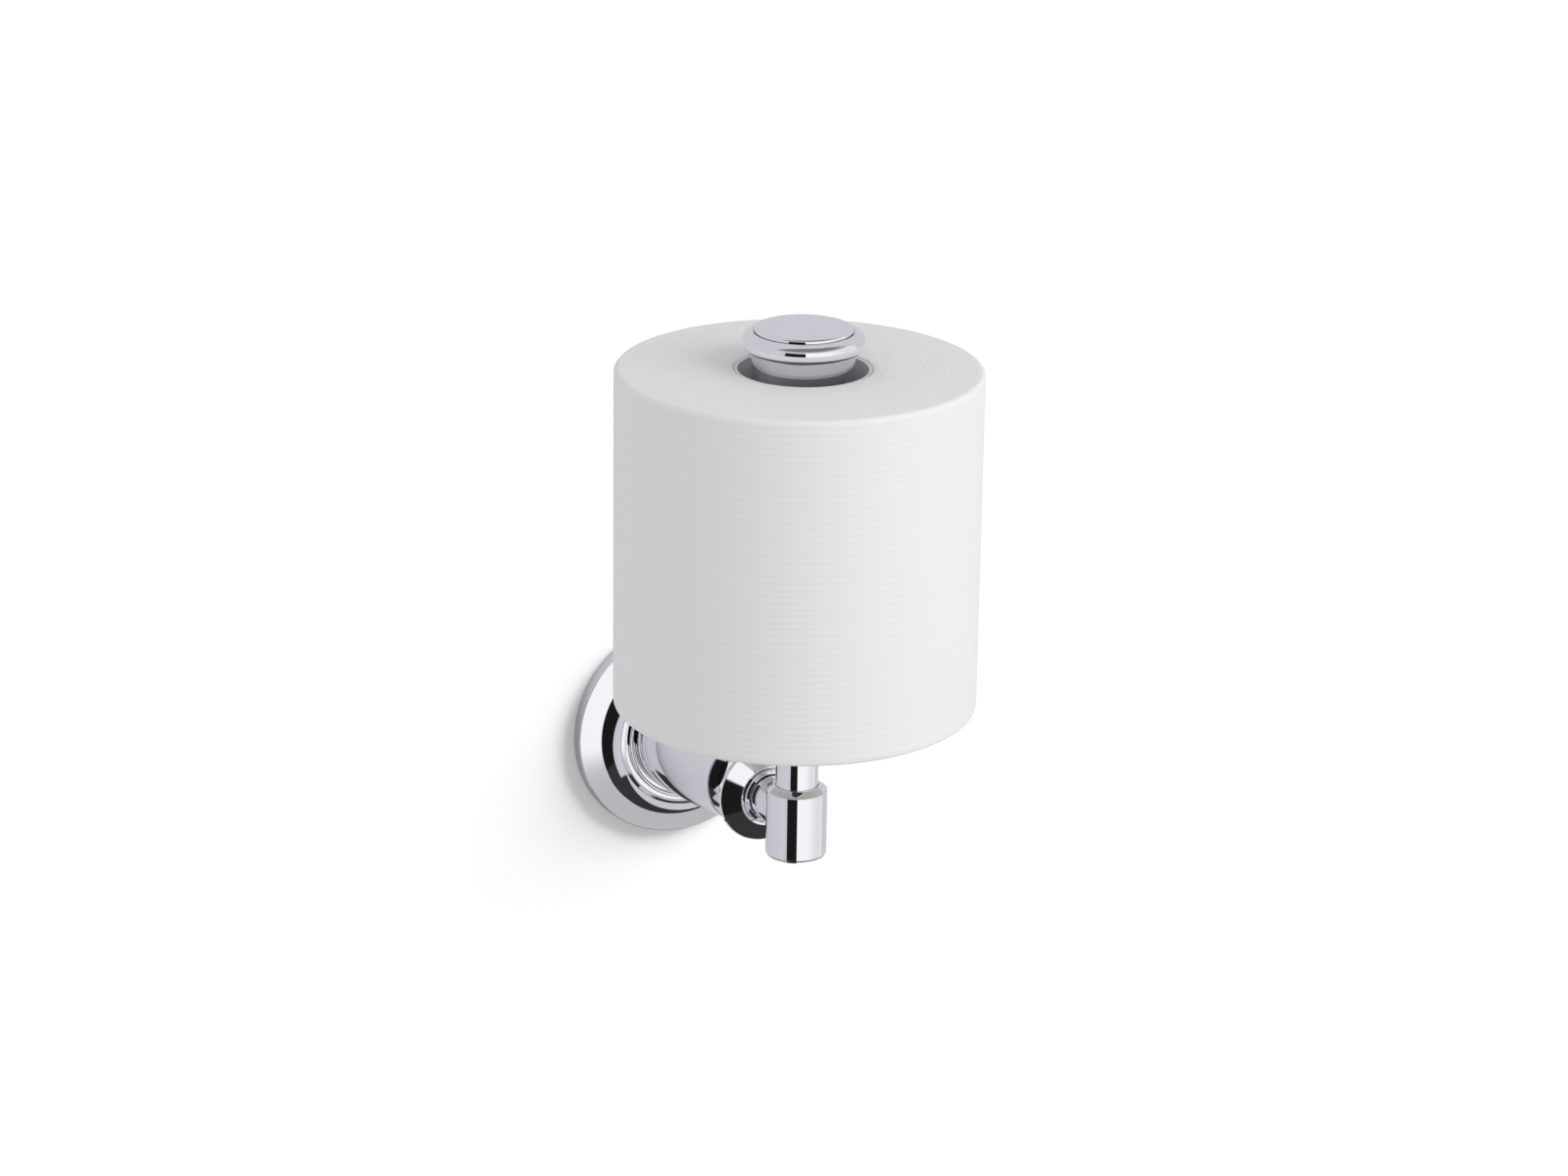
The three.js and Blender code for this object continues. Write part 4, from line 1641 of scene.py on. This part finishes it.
@dataclass
class Cap(SubAssembly):
    """Core guide, cap ring, raised disc and the screw that holds them.

    Attributes:
        guide_wall: Wall of the guide, in millimetres like the rest.
        guide_top: Thickness of the guide's top.
        underside: Height of the curve under the ring.
        edge: Height of the curve over the ring's side.
        shoulder: Width of that curve.
        head_bore: Radius of the recess for the screw's head.
        head_depth: Depth of that recess below the head's top.
        disc_edge: Rounding of the disc's edge.
        screw: The screw that holds the cap.
    """

    body: str = "holder"
    guide_wall: float = 1.6
    guide_top: float = 3.0
    underside: float = 2.0
    edge: float = 3.0
    shoulder: float = 3.4
    head_bore: float = 4.8
    head_depth: float = 2.5
    disc_edge: float = 1.0
    screw: SocketScrew = SocketScrew(2.2)

    def guide(self) -> None:
        """Turns the drum inside the core."""
        span = Span.of("core_guide", Axis.POST)
        inside, ceiling = span.radius - self.guide_wall, span.top - self.guide_top
        # The guide gets the darker chrome: painted shade for its place down inside the core.
        self.keep(turned("core_guide", Axis.POST, [
            Corner(SCREW_BORE, ceiling),
            Corner(inside, ceiling),
            Corner(inside, span.foot),
            Corner(span.radius, span.foot, 0.4),
            Corner(span.radius, span.top, 0.15),
            Corner(SCREW_BORE, span.top),
        ], 160), SHADED_CHROME)

    def ring(self) -> None:
        """Turns the cap's ring."""
        span = Span.of("cap_ring", Axis.POST)
        guide = Span.of("core_guide", Axis.POST)
        seat = span.radius - self.shoulder
        floor = Span.of("cap_disc", Axis.POST).foot - GAP
        recess = Span.of("cap_screw", Axis.POST).top - self.head_depth
        curve = quarter(Corner(span.radius, -span.foot - self.underside), Corner(guide.radius, -span.foot), 14)
        self.keep(turned("cap_ring", Axis.POST, [
            Corner(SCREW_BORE, span.foot),
            *[Corner(point.r, -point.h, curve=True) for point in reversed(curve)],
            *quarter(Corner(span.radius, span.top - self.edge), Corner(seat, span.top)),
            Corner(seat, floor),
            Corner(self.head_bore, floor),
            Corner(self.head_bore, recess),
            Corner(SCREW_BORE, recess),
        ], 180), CHROME)

    def build(self) -> None:
        """Builds every piece."""
        self.guide()
        self.ring()
        self.keep(self.screw.build("cap_screw", -UP), STEEL)
        disc = Span.of("cap_disc", Axis.POST)
        outline = band(0.0, disc, 0.0, 0.0, self.disc_edge, 0.0)
        self.keep(turned("cap_disc", Axis.POST, outline, 180), CHROME)


@dataclass
class Roll(SubAssembly):
    """Paper roll on its core tube.

    Attributes:
        core_wall: Wall of the core tube, in millimetres like the rest.
        core_gap: Gap between the tube and the paper.
        rib_pitch: Distance between embossed ribs.
        rib_height: Height of the ribs.
        threads: Number of upright threads round the roll, over tau.
        thread_height: Height of the threads.
        layer: Spacing of the wound layers that show at the ends.
        layer_height: How far they stand out.
        lean: How far the winding has slipped sideways at its outside.
        firm: Width of the winding next to the tube that hasn't slipped.
        sheet: Thickness of the outermost sheet's edge.
        sheet_angle: Where that edge lies, in radians from +X.
        edge: Rounding of the outer edges.
        inner_edge: Rounding of the inner edges.
    """

    body: str = "roll"
    core_wall: float = 0.8
    core_gap: float = 0.05
    rib_pitch: float = 2.1
    rib_height: float = 0.055
    threads: float = 124.0
    thread_height: float = 0.02
    layer: float = 0.5
    layer_height: float = 0.2
    lean: tuple[float, float] = (-1.0, 0.3)
    firm: float = 2.0
    sheet: float = 0.16
    sheet_angle: float = 2.1
    edge: float = 1.6
    inner_edge: float = 1.0

    def core(self) -> None:
        """Turns the core tube."""
        span = Span.of("core_tube", Axis.POST)
        outline = band(span.radius - self.core_wall, span, *[0.15] * 4)
        self.keep(turned("core_tube", Axis.POST, outline), BOARD)

    def profile(self, span: Span, inner: float) -> list[Corner]:
        """Outline of the paper, fine enough for its relief.

        Args:
            span: Where the paper lies.
            inner: Radius of its hole.

        Returns:
            The outline.
        """
        rows = round((span.top - span.foot - 2 * self.edge) / (self.rib_pitch / 4))
        rings = round((span.radius - inner - 2 * self.edge) / (0.65 * self.layer))
        near, far = inner + self.inner_edge, span.radius - self.edge
        low, high = span.foot + self.edge, span.top - self.edge
        hole_low, hole_high = span.foot + self.inner_edge, span.top - self.inner_edge
        return [
            *self.steps((near, span.foot), (far, span.foot), rings),
            *self.bend(far, low, self.edge, -90.0),
            *self.steps((span.radius, low), (span.radius, high), rows),
            *self.bend(far, high, self.edge, 0.0),
            *self.steps((far, span.top), (near, span.top), rings),
            *self.bend(near, hole_high, self.inner_edge, 90.0),
            *self.steps((inner, hole_high), (inner, hole_low), 8),
            *self.bend(near, hole_low, self.inner_edge, 180.0),
        ]

    def paper(self) -> None:
        """Makes the wound paper."""
        span = Span.of("paper_roll", Axis.POST)
        inner = Span.of("core_tube", Axis.POST).radius + self.core_gap
        piece = turned("paper_roll", Axis.POST, self.profile(span, inner), 176)
        WINDING_TREE.apply(piece, {
            "Centre": POST_CENTRE,
            "Rib Pitch": self.rib_pitch * MM,
            "Rib Height": self.rib_height * MM,
            "Threads": self.threads,
            "Thread Height": self.thread_height * MM,
            "Layer": self.layer * MM,
            "Layer Height": self.layer_height * MM,
            "Inner Radius": (inner + self.firm) * MM,
            "Outer Radius": (span.radius - self.edge) * MM,
            "Lean": (self.lean[0] * MM, self.lean[1] * MM, 0.0),
            "Sheet Thickness": self.sheet * MM,
            "Sheet Angle": self.sheet_angle,
            "Finish": TISSUE.material(),
        })
        self.keep(piece, TISSUE)

    @staticmethod
    def steps(start: tuple[float, float], end: tuple[float, float], count: int) -> list[Corner]:
        """Evenly spaced points on a straight run, its last point left out.

        Args:
            start: First radius and height.
            end: Last radius and height.
            count: Number of steps.

        Returns:
            The points.
        """
        first, run = Vector(start), Vector(end) - Vector(start)
        return traced(lambda t: first + run * t, count, False)

    @staticmethod
    def bend(r: float, h: float, radius: float, start: float, count: int = 6) -> list[Corner]:
        """A quarter circle, counter-clockwise, its last point left out.

        Args:
            r: Centre's radius.
            h: Centre's height.
            radius: Radius of the bend.
            start: Its first angle in degrees.
            count: Number of steps.

        Returns:
            The points.
        """
        def at(t: float) -> tuple[float, float]:
            """Radius and height at a share of the bend."""
            angle = math.radians(start + 90.0 * t)
            return r + radius * math.cos(angle), h + radius * math.sin(angle)

        return traced(at, count, False)

    def build(self) -> None:
        """Builds the roll."""
        self.core()
        self.paper()


@dataclass(frozen=True)
class Card:
    """A soft-edged region of the studio that only the chrome shows.

    Attributes:
        azimuth: Its left and right edges in degrees; 0 is straight out of the wall, 90 is to the right.
        elevation: Its lower and upper edges in degrees.
        shade: Its brightness, linear.
        side_blur: Width of its left and right edges in degrees.
        end_blur: Width of its lower and upper edges in degrees.
    """

    azimuth: tuple[float, float]
    elevation: tuple[float, float]
    shade: float
    side_blur: float = 1.2
    end_blur: float = 4.0


@dataclass(frozen=True)
class Softbox:
    """An area light, aimed at the middle of the object.

    Attributes:
        name: Light's name.
        azimuth: Direction in degrees, as for Card.
        elevation: Height above the horizon in degrees.
        distance: Distance in metres.
        size: Side of the light in metres.
        power: Power in watts.
    """

    name: str
    azimuth: float
    elevation: float
    distance: float
    size: float
    power: float


def grey(level: float) -> tuple[float, float, float, float]:
    """An opaque grey."""
    return (level, level, level, 1.0)


def direction(azimuth: float, elevation: float) -> Vector:
    """Unit vector from the object towards a direction.

    Args:
        azimuth: Degrees; 0 is straight out of the wall, 90 is to the right.
        elevation: Degrees above the horizon.

    Returns:
        The vector.
    """
    a, e = math.radians(azimuth), math.radians(elevation)
    return Vector((math.sin(a) * math.cos(e), -math.cos(a) * math.cos(e), math.sin(e)))


@dataclass
class Studio:
    """Camera, wall, floor, cards and lights.

    Attributes:
        azimuth: Camera's direction in degrees.
        elevation: Camera's height above the horizon in degrees.
        roll: Camera's tilt about its own axis in degrees.
        distance: Camera's distance from its aim, in metres.
        aim: Aim's place beside and above the foot of the post's axis, in metres.
        lens: Focal length in millimetres.
        floor_height: Height of the floor, in metres.
        ambient: Soft light from the room.
        wall_bounce: Soft light from the side of the wall.
        tint: Colour of the surround that the chrome shows.
        surround: Azimuth in degrees and brightness of that surround.
        cards: Regions laid over the surround, first to last.
        lights: Area lights on the object.
        wash: Azimuth, elevation and spread of the wall's own light, in degrees.
        wash_strength: Strength of that light.
        wall_lift: Strength of the wall's shadowless light.
        sun_distance: Distance at which the wall's lights stand, in metres.
        backdrop: Side of the wall and of the floor, in metres.
        wall_gap: How far the wall lies behind the object, in metres.
        wall_shade: Brightness of the wall as seen, and the dimmer brightness painted on it for glossy rays only, a
            painted reflection.
        floor_shade: Brightness of the floor, likewise.
    """

    azimuth: float = -26.48
    elevation: float = 19.12
    roll: float = 0.84
    distance: float = 1.3597
    aim: tuple[float, float] = (-0.00495, 0.07672)
    lens: float = 99.88
    floor_height: float = -0.45
    ambient: float = 0.51
    wall_bounce: float = 0.75
    tint: tuple[float, float, float] = (0.985, 0.99, 1.06)
    surround: Sequence[tuple[float, float]] = (
        (-180.0, 0.56), (-150.0, 0.59), (-110.0, 0.62), (-80.0, 0.65), (-61.0, 0.6),
        (-22.0, 0.62), (20.0, 0.62), (95.0, 0.66), (120.0, 0.74), (145.0, 0.8), (180.0, 0.62),
    )
    cards: Sequence[Card] = (
        Card((-22.0, 125.0), (-100.0, -35.0), 0.52, 2.0, 14.0),
        Card((-22.7, 85.0), (-28.0, 34.0), 1.0, 1.2, 11.0),
        Card((40.0, 88.0), (-28.0, 34.0), 0.77, 62.0, 11.0),
        Card((-400.0, 400.0), (46.0, 100.0), 0.2, 1.0, 24.0),
        Card((-61.0, -22.7), (-100.0, 26.0), 0.011, 1.6, 4.0),
        Card((-400.0, 400.0), (-100.0, -57.0), 0.036, 1.0, 3.0),
        Card((-61.0, -6.0), (-100.0, -41.0), 0.036, 1.6, 3.0),
    )
    lights: Sequence[Softbox] = (
        Softbox("key", 36.0, 20.0, 1.6, 1.25, 14.6),
        Softbox("fill", -45.0, 15.0, 2.0, 1.4, 6.0),
    )
    wash: tuple[float, float, float] = (62.0, 36.0, 44.0)
    wash_strength: float = 4.6
    wall_lift: float = 0.3
    sun_distance: float = 2.0
    backdrop: float = 8.0
    wall_gap: float = 0.0003
    wall_shade: tuple[float, float] = (0.9, 0.54)
    floor_shade: tuple[float, float] = (0.85, 0.0)

    def tinted(self, level: float) -> tuple[float, float, float, float]:
        """A brightness in the surround's colour."""
        return (*[level * part for part in self.tint], 1.0)

    def camera(self) -> None:
        """Makes the camera."""
        back = direction(self.azimuth, self.elevation)
        a = math.radians(self.azimuth)
        right = Vector((math.cos(a), math.sin(a), 0.0))
        up = back.cross(right)
        target = Vector((0.0, POST_AXIS.y, self.aim[1])) + right * self.aim[0]
        tilt = math.radians(self.roll)
        across = right * math.cos(tilt) + up * math.sin(tilt)
        above = up * math.cos(tilt) - right * math.sin(tilt)
        data = bpy.data.cameras.new("camera")
        data.lens, data.sensor_width = self.lens, 36.0
        data.clip_start, data.clip_end = 0.05, 50.0
        view = bpy.data.objects.new("camera", data)
        bpy.context.scene.collection.objects.link(view)
        turn = Matrix((across, above, back)).transposed().to_4x4()
        view.matrix_world = Matrix.Translation(target + back * self.distance) @ turn
        bpy.context.scene.camera = view

    def plane(self, name: str, centre: Vector, normal: Vector, shades: tuple[float, float]) -> bpy.types.Object:
        """Makes a plain backdrop that can't be seen from behind.

        Args:
            name: Its name.
            centre: Its centre.
            normal: The way it faces.
            shades: Its brightness as seen, and the brightness painted on it for the chrome, a painted reflection; 0
                leaves it out there.

        Returns:
            The backdrop.
        """
        made = bmesh.new()
        place = Matrix.Translation(centre) @ normal.to_track_quat("Z", "Y").to_matrix().to_4x4()
        bmesh.ops.create_grid(made, x_segments=1, y_segments=1, size=self.backdrop / 2, matrix=place)
        mesh = bpy.data.meshes.new(name)
        made.to_mesh(mesh)
        made.free()
        screen = loose_object(name, mesh)
        paint = bpy.data.materials.new(name)
        sheet = cleared(paint)
        seen = Wire(sheet, sheet.node("ShaderNodeLightPath").outputs["Is Glossy Ray"])
        shade, mirrored = shades
        # Painted reflection: glossy rays get a darker, tinted wall than the camera sees, so the chrome shows a
        # dimmer wall.
        colour = sheet.mix(seen, grey(shade), self.tinted(mirrored))
        matt = sheet.wire("ShaderNodeBsdfDiffuse", 0, None, {"Color": colour})
        clear = sheet.wire("ShaderNodeBsdfTransparent")
        behind = sheet.wire("ShaderNodeNewGeometry", "Backfacing")
        both = sheet.wire("ShaderNodeMixShader", 0, None, {0: behind, 1: matt, 2: clear})
        sheet.node("ShaderNodeOutputMaterial", None, {"Surface": both})
        mesh.materials.append(paint)
        screen.visible_glossy = mirrored > 0
        screen.visible_diffuse = False
        screen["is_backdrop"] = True
        return screen

    def surroundings(self) -> None:
        """Fills the world: white to the camera, soft ambient to matt surfaces, cards to the chrome."""
        world = bpy.data.worlds.new("studio")
        sheet = cleared(world)
        x, y, z = sheet.split(sheet.wire("ShaderNodeTexCoord", "Generated"))
        azimuth = sheet.math("ARCTAN2", x, y * -1.0) * (180 / math.pi)
        elevation = sheet.math("ARCSINE", z) * (180 / math.pi)
        stops = [(0.5 + turn / 360.0, self.tinted(shade)) for turn, shade in self.surround]
        seen = sheet.wire("ShaderNodeValToRGB", 0, {"stops": stops}, {0: azimuth / 360.0 + 0.5})
        for card in self.cards:
            mask = self.between(sheet, azimuth, card.azimuth, card.side_blur)
            mask = mask * self.between(sheet, elevation, card.elevation, card.end_blur)
            seen = sheet.mix(mask, seen, (card.shade, card.shade, 1.015 * card.shade, 1.0))
        path = sheet.node("ShaderNodeLightPath")
        ambient = sheet.mix(sheet.math("GREATER_THAN", y, 0.0), grey(self.ambient), grey(self.wall_bounce))
        colour = sheet.mix(Wire(sheet, path.outputs["Is Diffuse Ray"]), seen, ambient)
        colour = sheet.mix(Wire(sheet, path.outputs["Is Camera Ray"]), colour, grey(1.0))
        light = sheet.wire("ShaderNodeBackground", 0, None, {"Color": colour, "Strength": 1.0})
        sheet.node("ShaderNodeOutputWorld", None, {"Surface": light})
        bpy.context.scene.world = world

    @staticmethod
    def between(sheet: NodeSheet, value: Wire, edges: tuple[float, float], soft: float) -> Wire:
        """A soft-edged mask between two angles.

        Args:
            sheet: The world's nodes.
            value: The angle, in degrees.
            edges: Where the mask starts and ends.
            soft: Width of its soft edge.

        Returns:
            1 inside, 0 outside.
        """
        low, high = edges
        rise = sheet.ease(value, low - soft / 2, low + soft / 2)
        return rise * (1.0 - sheet.ease(value, high - soft / 2, high + soft / 2))

    def shine(self, wall: bpy.types.Object, flange: bpy.types.Object) -> None:
        """Makes the lights, which the chrome doesn't show.

        Args:
            wall: Backdrop with a light of its own.
            flange: The piece that casts a shadow in that light.
        """
        aim = sum(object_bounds(), Vector()) / 2
        for box in self.lights:
            data = bpy.data.lights.new(box.name, "AREA")
            data.shape, data.size, data.energy = "SQUARE", box.size, box.power
            lamp = self.lamp(data, box.azimuth, box.elevation, aim, box.distance)
            lamp.light_linking.receiver_collection = self.group("all_but_wall", [wall], "EXCLUDE")
        azimuth, elevation, spread = self.wash
        data = bpy.data.lights.new("wall_lift", "SUN")
        data.energy, data.use_shadow = self.wall_lift, False
        lamp = self.lamp(data, 0.0, 0.0, aim, self.sun_distance)
        lamp.light_linking.receiver_collection = self.group("wall_only", [wall], "INCLUDE")
        data = bpy.data.lights.new("wall_wash", "SUN")
        data.energy, data.angle = self.wash_strength, math.radians(spread)
        lamp = self.lamp(data, azimuth, elevation, aim, self.sun_distance)
        lamp.light_linking.receiver_collection = self.group("wall_only", [wall], "INCLUDE")
        lamp.light_linking.blocker_collection = self.group("flange_only", [flange], "INCLUDE")

    @staticmethod
    def lamp(
        data: bpy.types.Light, azimuth: float, elevation: float, aim: Vector, distance: float
    ) -> bpy.types.Object:
        """Places a light and aims it.

        Args:
            data: The light.
            azimuth: Its direction in degrees.
            elevation: Its height above the horizon in degrees.
            aim: Where it points.
            distance: How far off it stands, in metres.

        Returns:
            The lamp.
        """
        lamp = bpy.data.objects.new(data.name, data)
        bpy.context.scene.collection.objects.link(lamp)
        away = direction(azimuth, elevation)
        turn = away.to_track_quat("Z", "Y").to_matrix().to_4x4()
        lamp.matrix_world = Matrix.Translation(aim + away * distance) @ turn
        lamp.visible_glossy = False
        return lamp

    @staticmethod
    def group(name: str, members: Sequence[bpy.types.Object], state: str) -> bpy.types.Collection:
        """A collection for light linking.

        Args:
            name: Its name.
            members: Objects in it.
            state: INCLUDE to link them, EXCLUDE to link all others.

        Returns:
            The collection.
        """
        found = bpy.data.collections.get(name)
        if found:
            return found
        made = bpy.data.collections.new(name)
        for member in members:
            made.objects.link(member)
        for link in made.collection_objects:
            link.light_linking.link_state = state
        return made

    def build(self, flange: bpy.types.Object) -> None:
        """Sets up the whole studio.

        Args:
            flange: The piece whose shadow falls on the wall.
        """
        self.camera()
        wall = self.plane("wall", Vector((0.0, self.wall_gap, 0.0)), Vector((0.0, -1.0, 0.0)), self.wall_shade)
        self.plane("floor", UP * self.floor_height, UP, self.floor_shade)
        self.surroundings()
        self.shine(wall, flange)
        bpy.context.scene.view_settings.view_transform = "Standard"


def main() -> None:
    """Builds the holder, its roll and the studio."""
    logging.basicConfig(level=logging.INFO, format="%(name)s: %(message)s")
    for assembly in (WallMount(), Arm(), Upright(), FixedSeat(), TurningSeat(), Cap(), Roll()):
        assembly.build()
    Studio().build(bpy.data.objects["wall_flange_form"])


if __name__ == "__main__":
    main()
